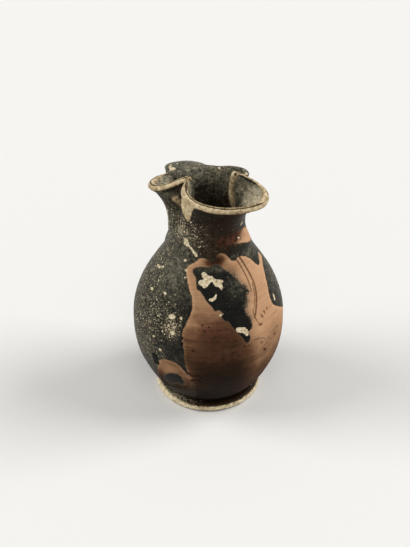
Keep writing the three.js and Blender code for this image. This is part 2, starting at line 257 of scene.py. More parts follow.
def ring_through(points, pieces):
    """A smooth closed curve through points, tighter where they are close together."""
    p = np.array(points, float)
    t = (np.arange(pieces) / pieces)[:, None]
    out = []
    for i in range(len(p)):
        a, b, c, d = (p[(i + k) % len(p)] for k in (-1, 0, 1, 2))
        ab, bc, cd = (math.sqrt(np.linalg.norm(v - u)) for u, v in ((a, b), (b, c), (c, d)))
        leave = bc * ((b - a) / ab - (c - a) / (ab + bc) + (c - b) / bc)
        arrive = bc * ((c - b) / bc - (d - b) / (bc + cd) + (d - c) / cd)
        out.append(
            b + t * leave + t**2 * (3 * (c - b) - 2 * leave - arrive) + t**3 * (2 * (b - c) + leave + arrive)
        )
    return np.vstack([*out, p[:1]])


def run_of(curve):
    """Length along a curve at each of its points."""
    return np.concatenate([[0], np.cumsum(np.linalg.norm(np.diff(curve, axis=0), axis=1))])


def along(curve, runs):
    """Points of a curve at given lengths along it."""
    have = run_of(curve)
    return np.stack([np.interp(runs, have, curve[:, k]) for k in range(curve.shape[1])], -1)


def grain(points, size, seed=0, octaves=3):
    """Smooth noise from about -1 to 1 at points in millimetres, with bumps of about that size."""
    flat = points.reshape(-1, 3) / size + seed * GRAIN["apart"]
    made = [noise.fractal(Vector(p), GRAIN["roughness"], GRAIN["lacunarity"], octaves) for p in flat]
    return np.array(made).reshape(points.shape[:-1])


# The outside of the body and neck, as height and run along the outline
PROFILE = through(OUTLINE, pieces=60)
PROFILE_RUN = run_of(PROFILE)


def outer_radius(height):
    """Radius of the outline at a height."""
    return np.interp(height, PROFILE[:, 1], PROFILE[:, 0])


def run_at(height):
    """Run along the outline at a height; above the outline it goes straight on."""
    above = np.maximum(0, height - PROFILE[-1, 1])
    return np.interp(height, PROFILE[:, 1], PROFILE_RUN) + above


# Painting: outlines of [azimuth in degrees, height], measured on the surface
Place = namedtuple("Place", "azimuth height run radius")
PAINTED = ("clay", "black", "lines", "cream", "shaded_chips")
SHARES = ("brown", "rust", "grime", "warm", "specks", "scuff")
FAR = 6.0
STROKE_REACH = 2


def place_of(points):
    """Where points lie on the outside of the body and neck."""
    height = points[..., 2].ravel()
    radius = np.maximum(np.hypot(points[..., 0], points[..., 1]).ravel(), 1)
    return Place(azimuth_of(points).ravel(), height, run_at(height), radius)


def turned_to(azimuth, centre):
    """The azimuth within half a turn of a centre."""
    return centre + (azimuth - centre + 180) % 360 - 180


def bump(azimuth, centre, width):
    """A soft rise round an azimuth, 1 at its centre."""
    return np.exp(-(((turned_to(azimuth, centre) - centre) / width) ** 2))


def bumps(azimuth, listed):
    """The sum of soft rises, each [size, azimuth, width]."""
    return sum(size * bump(azimuth, centre, width) for size, centre, width in listed)


def near(line, place, reach):
    """Which places lie within reach of a line's box, and the centre of the line's azimuths."""
    centre = (line[:, 0].min() + line[:, 0].max()) / 2
    half = np.radians((line[:, 0].max() - line[:, 0].min()) / 2) * place.radius + reach
    away = np.abs(np.radians(turned_to(place.azimuth, centre) - centre)) * place.radius
    low, high = run_at(line[:, 1].min()) - reach, run_at(line[:, 1].max()) + reach
    return np.nonzero((away < half) & (place.run > low) & (place.run < high))[0], centre


def distance_to(line, place, rows, centre):
    """Distance from places to a line, and whether each is inside it if it is closed."""
    azimuth = turned_to(place.azimuth[rows], centre)
    run, radius = place.run[rows], place.radius[rows]
    best = np.full(len(rows), np.inf)
    inside = np.zeros(len(rows), bool)
    runs = run_at(line[:, 1])
    for (a, s, b, t) in zip(line[:-1, 0], runs[:-1], line[1:, 0], runs[1:]):
        x, y = np.radians(a - azimuth) * radius, s - run
        dx, dy = np.radians(b - a) * radius, t - s
        share = np.clip(-(x * dx + y * dy) / (dx * dx + dy * dy + 1e-9), 0, 1)
        best = np.minimum(best, np.hypot(x + share * dx, y + share * dy))
        if s != t:
            crosses = (s > run) != (t > run)
            inside ^= crosses & (azimuth < a + (run - s) * (b - a) / (t - s))
    return best, inside


def patch(place, outline):
    """Signed distance to a smooth closed outline, positive inside."""
    line = ring_through([(a, h, 0) for a, h in outline], pieces=5)[:, :2]
    out = np.full(place.azimuth.shape, -FAR)
    rows, centre = near(line, place, FAR)
    if len(rows):
        distance, inside = distance_to(line, place, rows, centre)
        out[rows] = np.clip(np.where(inside, distance, -distance), -FAR, FAR)
    return out


def stroke(place, points, half):
    """Signed distance to a brush stroke through points, whose half width goes from one value to another."""
    line = through(points, pieces=6)
    out = np.full(place.azimuth.shape, -FAR)
    pieces = len(line) - 1
    for i in range(pieces):
        piece = line[i : i + 2]
        width = lerp(*half, (i + 0.5) / pieces)
        rows, centre = near(piece, place, STROKE_REACH + width)
        if len(rows):
            out[rows] = np.maximum(out[rows], width - distance_to(piece, place, rows, centre)[0])
    return out


def spot(place, azimuth, height, half, wide=1.0, lean=0.0):
    """Signed distance to an oval spot, wider than high by a factor and turned by an angle in degrees."""
    x = np.radians(turned_to(place.azimuth, azimuth) - azimuth) * place.radius
    y = place.run - run_at(height)
    turn = math.radians(lean)
    u = (x * math.cos(turn) + y * math.sin(turn)) / wide
    v = y * math.cos(turn) - x * math.sin(turn)
    return np.maximum(half - np.hypot(u, v), -FAR)


def spots(place, listed):
    return np.maximum.reduce([spot(place, *one) for one in listed])


def glow(place, azimuth, height, wide, high):
    """A soft round cloud, 1 in its middle."""
    x = np.radians(turned_to(place.azimuth, azimuth) - azimuth) * place.radius / wide
    y = (place.run - run_at(height)) / high
    return np.exp(-(x * x) - y * y)


def clouds(place, listed, start=0):
    """A share from 0 to 1, raised by soft clouds, each [strength, azimuth, height, width, rise]."""
    return np.clip(start + sum(strength * glow(place, *cloud) for strength, *cloud in listed), 0, 1)


# Reserved clay on the front, from the neck joint to the foot. Its left edge is a plain curve.
FIELD = [
    (-53.5, 77.6), (-51, 79.6), (-46.5, 80.7), (-42, 81.8), (-38.5, 83.2), (-32, 83.5), (-26, 82.9),
    (-20, 82), (-16, 83), (-13, 84.9), (-8, 85.2), (-2, 84.2), (2, 82.6), (5, 81), (11, 80.7),
    (17, 81.3), (24, 80.9), (31, 79.5), (37, 77.4), (41, 74.8), (45, 72.9), (51, 72.9), (58, 74),
    (66, 74.4), (68, 72.4), (60, 71.6), (52.5, 70.4), (46.5, 68), (41, 64.6), (37.2, 61.2), (36.6, 57.5),
    (40, 54.6), (47, 51.5), (56, 47.5), (66, 42), (70, 34), (67, 24), (60, 15), (56, 8), (52, 5),
    (0, 4.9), (-38, 4.9), (-41, 8), (-37.5, 14), (-38, 20), (-40, 26), (-41.5, 32), (-43.5, 38),
    (-44, 44), (-45.8, 49), (-46, 53), (-43, 58), (-40.3, 63), (-41, 67), (-45.5, 70.8), (-50.5, 74.5),
]
NECK_BAND = [
    (-16, 90), (-11, 92.6), (-2, 93.2), (10, 92.9), (20, 92.9), (33, 92.2), (47, 91.2), (62, 88.8),
    (82, 86), (92, 85), (86, 83.6), (66, 81.8), (52, 83), (40, 84.8), (28, 86.4), (14, 87.6), (2, 88.2),
    (-10, 88.6),
]
# How steep the signed distance is where an edge is rubbed and uneven, and where that is so
WORN_EDGE = 0.18
BAND_WEAR = {"left": 2 * WORN_EDGE, "right": 0.55, "from": 20, "to": 45}
BLOB_WEAR = {"azimuths": (-14, 2), "heights": (50, 58)}
VOLUTE = [
    (-84, 9), (-79, 13.4), (-72.4, 18.4), (-71.6, 22.5), (-68.8, 28.2), (-64.8, 34), (-59, 35.8),
    (-51.7, 36), (-46.9, 34.3), (-43.2, 31.2), (-40.3, 28), (-38.8, 24), (-41.2, 18.6), (-49, 15.8),
    (-58, 14.8), (-66, 13.2), (-73, 9.5),
]

# Black painted over the clay
BLOB = [
    (-45.5, 78.1), (-41, 79.4), (-33, 79.8), (-25, 79.8), (-18, 80.7), (-12.5, 80.2), (-8.2, 78.9),
    (-4, 77.6), (0, 76.4), (3.6, 75), (6.3, 73.4), (10, 71.2), (13.6, 69.4), (14.8, 67.8), (11.2, 66.4),
    (10.2, 64.2), (7.2, 62.5), (6.2, 60), (8.2, 57.8), (9.2, 55), (9, 52.8), (6.2, 51.8), (5.4, 50.6),
    (6.3, 48.4), (4.8, 46.6), (2.2, 46.8), (0.8, 48.6), (-1, 50.6), (-4.4, 53), (-6.2, 54.9), (-8, 56.5),
    (-9.8, 58.2), (-13, 58.9), (-15, 60.3), (-14.2, 62), (-17, 63.3), (-20.6, 63.2), (-22.4, 64.6),
    (-26, 66.2), (-30, 68.4), (-34, 70.5), (-38, 71.4), (-39.2, 73.5), (-40.8, 75.6), (-44, 76.7),
]
VOLUTE_EYE = [
    (-65.5, 19), (-63.5, 23.5), (-58.5, 27), (-54, 28.4), (-49, 28.6), (-46.4, 26), (-46, 23),
    (-48.5, 21), (-52, 21.8), (-56, 20.4), (-60, 18), (-63.5, 17),
]
FRONT_STROKES = [
    ([(-41, 31.5), (-37, 29.5), (-33.5, 30.2), (-30.5, 28)], (0.7, 0.4)),
    ([(-39.5, 26), (-35, 27.4), (-31, 25)], (0.8, 0.5)),
    ([(-44, 14.6), (-37, 17.6), (-30.5, 17), (-26, 13.6)], (0.8, 0.5)),
    ([(-49, 12.4), (-39, 13.4), (-30, 12.2), (-20, 13.4), (-12, 11.8)], (1.0, 0.4)),
    ([(-84, 7.4), (-70, 9.2), (-54, 10.2), (-40, 9)], (1.0, 0.9)),
]
DRAPERY_LINES = [
    ([(12, 80.8), (15, 79.2), (17.6, 76.3), (18.7, 73.3), (18.8, 69.8), (17.8, 66.8)], (0.42, 0.28)),
    ([(19, 81), (22.2, 78.2), (24.2, 75), (25, 71.6), (24.4, 68.4), (22, 65.2), (18.6, 61.8), (15, 58.2),
      (13, 56.4)], (0.55, 0.5)),
    ([(22.5, 69.5), (20.4, 66.2), (17.4, 63), (14.6, 60.4)], (0.25, 0.2)),
    ([(13.4, 60), (13, 58), (14.2, 55.4), (15.6, 53.4)], (0.3, 0.25)),
    ([(9.5, 46.7), (14, 45.9), (18.5, 44.9), (21, 43.6)], (0.3, 0.2)),
]
# Brush dots, [azimuth, height, half width, how much longer than wide, turn]
DOTS = [
    (-31, 57.3, 0.55, 1.2, 0), (-25.6, 56.6, 0.5, 1.7, -50), (-28.8, 54.7, 0.5, 1.5, -20),
    (-37.2, 45, 0.6, 1.7, -25), (17.4, 52.2, 0.7, 1.8, -20), (20.6, 55.4, 0.55, 2.4, -60),
    (24.2, 56.4, 0.5, 2.2, -75), (28.2, 57, 0.45, 1.9, -80), (20.8, 37.6, 0.8, 1.9, -35),
    (16.8, 42.8, 0.5, 1.6, -45), (25.6, 42.7, 0.45, 1.5, -20), (22.2, 41.1, 0.45, 1.2, 0),
    (24.8, 90.4, 0.4, 1.2, 0), (29.4, 88.2, 0.4, 1.8, 60), (19, 88.9, 0.8, 1.3, 20),
    (33, 42.1, 0.75, 1.5, -15), (28.6, 40.7, 0.4, 1.3, 0), (37, 44.6, 0.5, 1.5, -20),
    (1, 44.9, 0.5, 1.4, -60), (41, 47.3, 0.4, 1.3, 0), (-43, 36.6, 0.4, 1.2, 0),
    (29.5, 48.2, 0.25, 1.2, 0), (12.2, 44.2, 0.25, 1, 0),
]

# Flaky cream paint, and a tall pale streak in the same cream at azimuth 43 and height 57.8, the first of the
# spots
CREAM_PATCHES = [
    [(-34.6, 77.1), (-32, 77.8), (-29, 77.3), (-26, 76.4), (-22, 76.2), (-19, 75.2), (-15, 74.8), (-11, 74.5),
     (-9.6, 73.9), (-12.2, 73), (-10.8, 72), (-13, 70.9), (-15.2, 72), (-18.4, 72.3), (-20.4, 73.2),
     (-22, 74.1), (-24.6, 73.8), (-26.6, 72.7), (-30, 71.8), (-33, 72.4), (-37.2, 73.5), (-35.2, 74.5),
     (-31.4, 75.1), (-33.6, 75.9)],
    [(-26, 67.5), (-23, 68), (-20.4, 68.7), (-18.2, 69.5), (-18.6, 68.2), (-21, 67.1), (-23.6, 66.8)],
    [(-4.5, 54.6), (-1, 54.5), (2, 54.1), (4.2, 53), (5.4, 51.2), (4.2, 49.6), (2, 50.6), (0.4, 51.8),
     (-2, 52.3), (-4.4, 53.2)],
    [(-63.6, 90.8), (-60, 91.6), (-56.4, 91), (-54.6, 89), (-50, 87.6), (-45.2, 86), (-41.2, 84.2),
     (-42.4, 83.6), (-46.6, 84.6), (-50.4, 86), (-54.4, 87.4), (-58.6, 87.6), (-63, 88.4)],
]
CREAM_SPOTS = [
    (43, 57.8, 0.75, 2.2, 84), (-73, 98.5, 0.5, 1.5, 0), (-38.6, 88.6, 0.5, 1.6, 30),
    (-44, 98, 0.4, 1.3, 0), (31, 95.6, 0.5, 2, 20), (25.6, 89.2, 0.4, 2.4, -30),
    (-56.5, 58.4, 1.1, 1.6, 10), (-48.6, 58.9, 0.7, 0.8, 0), (-53.6, 51.6, 0.9, 1.5, 0),
    (-64, 40.2, 0.8, 1.1, 0), (-70.6, 45.8, 0.6, 1.3, 0), (-95.5, 72.8, 0.7, 2.4, 10),
    (-88.4, 74, 0.5, 2, 20), (-69.6, 66.2, 0.5, 1.6, 0), (-57.8, 81.2, 0.6, 1.5, 0),
    (-87, 64.3, 0.7, 2, 0), (-54, 77.4, 0.6, 1.2, 0), (-52.6, 74.6, 0.45, 1.5, 0),
    (-107, 95, 0.45, 9, 87), (-15.6, 61.4, 0.35, 2.4, 20),
]
# Near-black chips with a sunk bump; their black is painted shade in the hollows
SHADED_CHIPS = [
    (-69.8, 34.2, 2.1, 1.2, 60), (-69.2, 31.4, 2.0, 1.1, 70), (-46, 47.5, 0.8, 1.5, 60),
    (-47.4, 44, 0.5, 1.4, 20), (-45.8, 50.4, 0.6, 1.3, 30), (-50, 46, 0.4, 1.3, 0),
]

# Soft clouds, [strength, azimuth, height, width, rise]: the last two are a cloud's half sizes
SPECK_CLOUDS = [
    (0.5, -108, 52, 24, 40), (0.3, -66, 56, 12, 18), (0.6, -54, 53, 4.5, 7), (0.4, -58, 97, 9, 7),
    (0.25, -95, 85, 14, 20), (0.35, 160, 60, 30, 30), (0.25, 95, 60, 14, 26), (0.2, -74, 42, 14, 12),
    (0.4, 66, 55, 8, 20), (0.2, -42, 90, 8, 5), (-0.4, -60, 74, 8, 8), (0.25, -75, 94, 9, 8),
    (-0.35, -55, 43, 8, 5), (-0.25, -64, 84, 7, 5),
]
RUST_CLOUDS = [
    (0.8, -24, 54, 11, 6), (0.35, -30, 60, 7, 6), (0.9, 8, 90.5, 10, 4), (0.5, -20, 82.4, 5, 2.5),
    (0.35, 90, 52, 14, 10), (0.6, -10, 42, 16, 4),
]
GRIME_CLOUDS = [
    (0.8, -10, 50, 9, 4), (0.6, 18, 42.5, 10, 4), (0.5, -9, 56, 4, 3), (0.5, -30, 57, 6, 4),
    (0.6, -46, 46, 4, 8), (0.4, 8, 79, 8, 3), (0.8, 30, 89, 24, 4), (0.4, -44, 24, 8, 8),
    (0.3, 40, 50, 20, 20),
]
WARM_CLOUDS = [
    (1, -22, 97, 12, 10), (0.8, 8, 97, 10, 8), (1, -15, 87, 10, 4), (0.5, -30, 10, 20, 7),
    (0.3, 120, 40, 30, 20), (0.7, -98, 106, 6, 5), (0.9, -56, 20, 14, 8), (1, -32, 14, 16, 8),
]
# Grey scuffed slip. The cloud at azimuth 40 and height 100 is a painted reflection on the right of the neck;
# the one at azimuth 68 and height 60 is partly scuffing and partly a painted reflection along the right edge.
SCUFF_AND_SHEEN_CLOUDS = [
    (0.45, 4, 71, 6, 5.5), (0.4, -14, 79, 9, 2), (0.5, 8.4, 61, 1.5, 5), (0.22, -105, 62, 26, 44),
    (0.2, 47, 64, 6, 8), (0.35, 30, 80, 12, 3), (0.4, 150, 50, 30, 34), (0.3, -62, 74, 10, 12),
    (0.3, -60, 93, 10, 8), (0.4, 68, 60, 7, 20), (0.45, -99, 107.6, 3.6, 2), (0.35, 40, 100, 6, 8),
    (0.2, -72, 77, 10, 9), (0.35, 180, 98, 14, 12), (0.2, 180, 70, 22, 14), (0.5, -114, 98, 5, 9),
    (0.35, -76, 33, 12, 9),
]
# How dark the clay is at heights, on the front and on the right: darker towards the bottom, partly its own
# brown and partly painted shade
FRONT_TONE_AND_SHADE = ([8, 14, 30, 42, 48, 57, 68, 80], [1, 0.97, 0.9, 0.74, 0.64, 0.46, 0.24, 0.2])
TONE_TURNS = (-8, 18)  # azimuths where the front's tone gives way to the right's
TONE_BACK = (115, 160)  # how far round it gives way to a mean of both
RIGHT_TONE_AND_SHADE = ([8, 14, 27, 40, 50, 84], [0.95, 0.72, 0.5, 0.3, 0.1, 0.05])
BROWN_CLOUDS = [
    (-0.53, -60, 30, 12, 9), (-0.22, -45, 25, 7, 8), (-0.25, 180, 36, 30, 14), (-0.2, 80, 30, 12, 9),
    (0.66, -6, 91, 8, 5), (0.45, 8, 90.4, 6, 4), (0.2, 19, 91.4, 4, 3), (0.8, -18, 82.2, 4, 2.4),
    (0.25, 28, 92, 8, 1.6), (-0.16, -37, 55, 9, 8), (-0.12, -40, 44, 8, 6), (0.2, -22, 53, 8, 5),
    (0.2, 5, 77, 4.5, 3.5), (0.1, 32, 47, 6, 6),
]

# Ornament of the back. The volute's mirror line and the places are azimuths and heights.
BACK_VOLUTE = 10
BACK_PALMETTE = (180, 33)
BACK_BUD = (2.3, 1.3)
BACK_SCROLLS = [(146, 29, -1), (214, 29, 1)]
PETAL = {"start": 4.2, "length": 11.5, "shorter": 0.3, "width": 3.6, "root": 0.35, "turn": 23, "points": 12}
SCROLL = {"from": -60, "turn": 34, "size": 9.5, "closing": 0.52, "points": 15, "half": (1.1, 0.7)}
BACK_WEAR = 0.5
EYE_WEAR = 0.35
BACK_TONE = 0.6
LEAST_SPECKS = 0.1


def mirrored(outline, about):
    return [(2 * about - a, h) for a, h in outline]


def beside(azimuth, height, x, y):
    """A point x millimetres to the right of another and y above it, as azimuth and height."""
    return azimuth + math.degrees(x / outer_radius(height + y)), height + y


def petal(azimuth, height, length, lean):
    """Outline of a palmette's leaf, leaning from the upright by an angle in degrees."""
    turn = math.radians(lean)
    out = []
    for step in range(PETAL["points"]):
        angle = 2 * math.pi * step / PETAL["points"]
        share = (1 - math.cos(angle)) / 2
        up = PETAL["start"] + length * share
        side = PETAL["width"] / 2 * math.sin(angle) * lerp(PETAL["root"], 1, share)
        x = side * math.cos(turn) + up * math.sin(turn)
        y = up * math.cos(turn) - side * math.sin(turn)
        out.append(beside(azimuth, height, x, y))
    return out


def palmette(azimuth, height):
    """Outlines of the nine leaves of a palmette, the outer ones shorter."""
    return [
        petal(azimuth, height, PETAL["length"] - PETAL["shorter"] * k * k, PETAL["turn"] * k)
        for k in range(-4, 5)
    ]


def scroll(azimuth, height, turn):
    """A tendril that rolls up into a volute, to the left or right."""
    points = []
    for step in range(SCROLL["points"]):
        angle = math.radians(SCROLL["from"] + SCROLL["turn"] * step)
        size = SCROLL["size"] - SCROLL["closing"] * step
        points.append(beside(azimuth, height, turn * size * math.cos(angle), size * math.sin(angle)))
    return points


def back_ornament(place):
    """Signed distance to the palmette below the handle, its bud and the two scrolls beside it."""
    leaves = [patch(place, outline) for outline in palmette(*BACK_PALMETTE)]
    tendrils = [stroke(place, scroll(*listed), SCROLL["half"]) for listed in BACK_SCROLLS]
    return np.maximum.reduce([spot(place, *BACK_PALMETTE, *BACK_BUD), *leaves, *tendrils])


def reserved_clay(place):
    """Signed distance to the clay that is left bare of slip."""
    volutes = [patch(place, outline) for outline in (VOLUTE, mirrored(VOLUTE, BACK_VOLUTE))]
    turned = smooth(place.azimuth, BAND_WEAR["from"], BAND_WEAR["to"])
    band = lerp(BAND_WEAR["left"], BAND_WEAR["right"], turned) * patch(place, NECK_BAND)
    return np.maximum.reduce([patch(place, FIELD), *volutes, band, BACK_WEAR * back_ornament(place)])


def black_paint(place):
    """Signed distance to the black painted over the clay."""
    aside = turned_to(place.azimuth, 0)
    rubbed = smooth(aside, *BLOB_WEAR["azimuths"]) * smooth(place.height, *BLOB_WEAR["heights"])
    blob = lerp(1, WORN_EDGE, rubbed) * patch(place, BLOB)
    eyes = [EYE_WEAR * patch(place, eye) for eye in (VOLUTE_EYE, mirrored(VOLUTE_EYE, BACK_VOLUTE))]
    return np.maximum.reduce([blob, *eyes])


def brown_tone_and_shade(place):
    """How brown the clay is, from 0 to 1; its darkening towards the bottom is partly painted shade."""
    aside = turned_to(place.azimuth, 0)
    right = lerp(smooth(aside, *TONE_TURNS), BACK_TONE, smooth(np.abs(aside), *TONE_BACK))
    tone = lerp(np.interp(place.height, *FRONT_TONE_AND_SHADE), np.interp(place.height, *RIGHT_TONE_AND_SHADE), right)
    return clouds(place, BROWN_CLOUDS, tone)


def decoration(place):
    """What each place on the outside shows: signed distances in millimetres and soft shares."""
    nowhere = np.full(place.azimuth.shape, -FAR)
    strokes = [stroke(place, *listed) for listed in (*FRONT_STROKES, *DRAPERY_LINES)]
    patches = [patch(place, outline) for outline in CREAM_PATCHES]
    return {
        "clay": reserved_clay(place),
        "black": black_paint(place),
        "lines": np.maximum.reduce([*strokes, spots(place, DOTS)]),
        "cream": np.maximum.reduce([*patches, spots(place, CREAM_SPOTS)]),
        "shaded_chips": spots(place, SHADED_CHIPS),
        "brown": brown_tone_and_shade(place),
        "rust": clouds(place, RUST_CLOUDS),
        "warm": clouds(place, WARM_CLOUDS),
        "grime": clouds(place, GRIME_CLOUDS),
        "specks": clouds(place, SPECK_CLOUDS, LEAST_SPECKS),
        "worn": nowhere,
        "groove": nowhere,
        "scuff": clouds(place, SCUFF_AND_SHEEN_CLOUDS),
    }


def mesh_of(name, grid, around=True, over=False, tips=(None, None)):
    """A mesh over a grid of points in millimetres, [row, column].

    The columns close on themselves if around, the rows if over; a tip closes the first or last row."""
    rows, columns = grid.shape[:2]
    points = grid.reshape(-1, 3) * MM
    index = np.arange(rows * columns).reshape(rows, columns)
    if around:
        index = np.hstack([index, index[:, :1]])
    if over:
        index = np.vstack([index, index[:1]])
    quads = np.stack([index[:-1, :-1], index[:-1, 1:], index[1:, 1:], index[1:, :-1]], -1).reshape(-1, 4)
    faces = quads.tolist()
    for tip, row, order in ((tips[0], index[0], 1), (tips[1], index[-1], -1)):
        if tip is not None:
            points = np.vstack([points, np.array(tip, float)[None] * MM])
            last = len(points) - 1
            faces += [(last, int(a), int(b))[::order] for a, b in zip(row[1:], row[:-1])]
    mesh = bpy.data.meshes.new(name)
    mesh.from_pydata(points.tolist(), [], faces)
    mesh.shade_smooth()
    return mesh


def paint(mesh, values):
    """Float attributes on a mesh; vertices past the given ones, at the tips, get the last value."""
    for name, value in values.items():
        full = np.full(len(mesh.vertices), float(value.ravel()[-1]), np.float32)
        full[: value.size] = value.ravel()
        mesh.attributes.new(name, "FLOAT", "POINT").data.foreach_set("value", full)


def foot_grid():
    """Rings round the foot's section, with an uneven worn edge, and how far each point is from the edge."""
    section = through(FOOT_SECTION, pieces=6)
    section[:, 1] = np.clip(section[:, 1], 0, FOOT_HEIGHT)
    grid = revolved(section, columns(FOOT_COLUMNS))
    runs = run_of(section)
    edge = runs - runs[section[:, 0].argmax()]
    fading = np.exp(-((edge / FOOT_WEAR["reach"]) ** 2))[:, None]
    worn = FOOT_WEAR["depth"] * (grain(grid, FOOT_WEAR["size"], seed=4) - 1) * fading
    grid[..., :2] *= 1 + (worn / section[:, None, 0].clip(1))[..., None]
    return grid, np.broadcast_to(edge[:, None], worn.shape)


def coil_grid(section, squeeze, seed):
    """A finger-pressed coil of clay round the axis."""
    section = ring_through([(r, z, 0) for r, z in section], pieces=4)[:-1, :2]
    grid = revolved(section, columns(COIL_COLUMNS))
    middle = grid.mean(0, keepdims=True)
    press = squeeze * lerp(1, grain(middle, FINGER["size"], seed), FINGER["share"])
    return grid + (middle - grid) * press[..., None]


def body_grid():
    """Rings of the body from the middle of its underside, up the outside and down the inside."""
    under = [(radius, BODY_BASE) for radius in UNDERSIDE_RADII]
    outside = along(PROFILE, np.linspace(0, float(run_at(JOINT)), BODY_ROWS))
    tuck = [(outer_radius(height) - inset, height) for height, inset in BODY_TUCK]
    heights = np.linspace(JOINT, INNER_LOWEST, INNER_ROWS)
    wall = lerp(*BODY_WALL, smooth(heights, BODY_BASE, BODY_TOP))
    inside = zip(np.minimum(outer_radius(heights) - wall, INNER_WIDEST), heights)
    section = np.array([*under, *outside, *tuck, *inside, *INNER_FLOOR])
    turn = columns(BODY_COLUMNS)
    grid = revolved(section, turn - FRONT_DENSITY * np.sin(turn))
    return grid, slice(len(under), len(under) + len(outside))


def wheel_marks(grid, outside):
    """Throwing ridges and a slight unevenness of the wall, cut into the outside."""
    part = grid[outside]
    height = part[..., 2]
    wander = RIDGE["wander"] * grain(part, RIDGE["wander_size"], seed=3, octaves=2)
    ridges = np.sin(height * 2 * math.pi / RIDGE["spacing"] + wander)
    streaks = grain(part * np.array(STREAK["stretch"]), STREAK["size"], seed=5)
    marked = smooth(height, *RIDGES_RISE) * (1 - smooth(height, *RIDGES_FALL))
    uneven = BROAD_UNEVEN[1] * (grain(part, BROAD_UNEVEN[0], seed=1, octaves=2) - 1)
    uneven += FINE_UNEVEN[1] * grain(part, FINE_UNEVEN[0], seed=2, octaves=2)
    depth = uneven + marked * (RIDGE["depth"] * ridges + STREAK["depth"] * streaks)
    depth *= smooth(height, BODY_BASE, SMOOTH_ENDS[0]) * (1 - smooth(height, SMOOTH_ENDS[1], JOINT))
    away = part * np.array([1, 1, 0])
    away /= np.maximum(np.linalg.norm(away, axis=-1, keepdims=True), 1e-6)
    grid[outside] = part + away * depth[..., None]


# The rim and the wall that grows to it
RIM = ring_through([polar(np.radians(a), r, z) for a, r, z in LIP_POINTS], RIM_PIECES)
RIM_SHARE = run_of(RIM) / run_of(RIM)[-1]
RIGHT_PINCH = RIM_SHARE[[a for a, r, z in LIP_POINTS].index(PINCHES[1]["tip"][0]) * RIM_PIECES]


def rim_at(share):
    """Points of the rim at shares of its length, from the left pinch."""
    return np.stack([np.interp(share % 1, RIM_SHARE, RIM[:, k]) for k in range(3)], -1)


def evened_azimuths(samples=720):
    """Azimuth on the throat that each share of the rim grows from, evened out under the folds."""
    points = rim_at(np.arange(samples) / samples)
    own = np.unwrap(np.arctan2(points[:, 0], -points[:, 1]))
    reach = round(EVENING * samples)
    weights = 1 - np.abs(np.arange(-reach, reach + 1)) / (reach + 1)
    laps = np.concatenate([own[-reach:] - 2 * math.pi, own, own[:reach] + 2 * math.pi])
    return np.convolve(laps, weights / weights.sum(), "valid")


EVENED = evened_azimuths()


def throat_azimuth(share):
    """Azimuths on the throat that shares of the rim grow from, in radians."""
    place = (share % 1) * len(EVENED)
    turns = np.append(EVENED, EVENED[0] + 2 * math.pi)
    return np.interp(place, np.arange(len(turns)), turns) + 2 * math.pi * np.floor(share)


def tip_of(pinch):
    """The point of a pinch's tip."""
    azimuth, radius, height = pinch["tip"]
    return polar(math.radians(azimuth), radius, height)


def wall_at(share, t):
    """Middle of the mouth's wall at shares of the rim and shares t of the way from throat to lip."""
    lip = rim_at(share)[None]
    throat = polar(throat_azimuth(share), THROAT - NECK_WALL / 2, THROAT_HEIGHT)[None] + LEAN
    t = t[:, None]
    opened = t**FLARE
    x, y = lerp(throat[..., 0], lip[..., 0], opened), lerp(throat[..., 1], lip[..., 1], opened)
    point = np.stack([x, y, lerp(throat[..., 2], lip[..., 2], t)], -1)
    swell = np.maximum(0, np.sin(math.pi * t)) ** FOLD_POWER * smooth(t, -FOLD_START / 2, FOLD_START)
    for pinch in PINCHES:
        near_tip = np.exp(-((distance_from(lip, tip_of(pinch)) / pinch["reach"]) ** 2))
        push = pinch["depth"] * swell * near_tip
        point -= polar(math.radians(pinch["tip"][0]), 1, 0) * push[..., None]
    return point


def rim_shares():
    """Shares of the rim, closer together near the pinches."""
    even = np.arange(RIM_SAMPLES) / RIM_SAMPLES
    aside = [np.abs((even - at + 0.5) % 1 - 0.5) for at in (0, RIGHT_PINCH)]
    crowd = sum(PINCH_CROWDING["gain"] * np.exp(-((d / PINCH_CROWDING["reach"]) ** 2)) for d in aside)
    total = np.concatenate([[0], np.cumsum(1 + crowd)])
    wanted = np.arange(RIM_COLUMNS) / RIM_COLUMNS * total[-1]
    return np.interp(wanted, total, np.arange(RIM_SAMPLES + 1) / RIM_SAMPLES)


def wall_frame(share, t):
    """The middle of the mouth's wall, and the directions out of it and up along it."""
    middle = wall_at(share, t)
    sideways = wall_at(share + NUDGE, t) - wall_at(share - NUDGE, t)
    up = wall_at(share, np.minimum(1, t + NUDGE)) - wall_at(share, np.maximum(0, t - NUDGE))
    out = np.cross(sideways, up)
    out /= np.linalg.norm(out, axis=-1, keepdims=True)
    up /= np.linalg.norm(up, axis=-1, keepdims=True)
    return middle, out, up


def lip_roll(rim, t):
    """How far the lip is rolled out, with a knob at each pinch and wear along it."""
    knobs = [p["knob"] * np.exp(-((distance_from(rim, tip_of(p)) / KNOB_REACH) ** 2)) for p in PINCHES]
    worn = LIP_LUMPS["depth"] * (grain(rim, LIP_LUMPS["size"], seed=8) - LIP_LUMPS["worn"])
    return (LIP_ROLL + np.max(knobs, axis=0) + worn) * smooth(t, LIP_FROM, LIP_FULL)[:, None]


def lip_arc(middle, out, up, roll):
    """Rings over the top of the lip, from its outer side to its inner one."""
    arc = []
    for angle in np.arange(LIP_STEP, 180, LIP_STEP):
        turn = math.radians(angle)
        width = NECK_WALL / 2 + roll * (angle < 90)
        groove = LIP_GROOVE["depth"] * math.exp(-(((angle - LIP_GROOVE["at"]) / LIP_GROOVE["width"]) ** 2))
        rise = LIP_CROWN * math.sin(turn) - groove
        arc.append(middle + out * (math.cos(turn) * width)[..., None] + up * rise)
    return arc


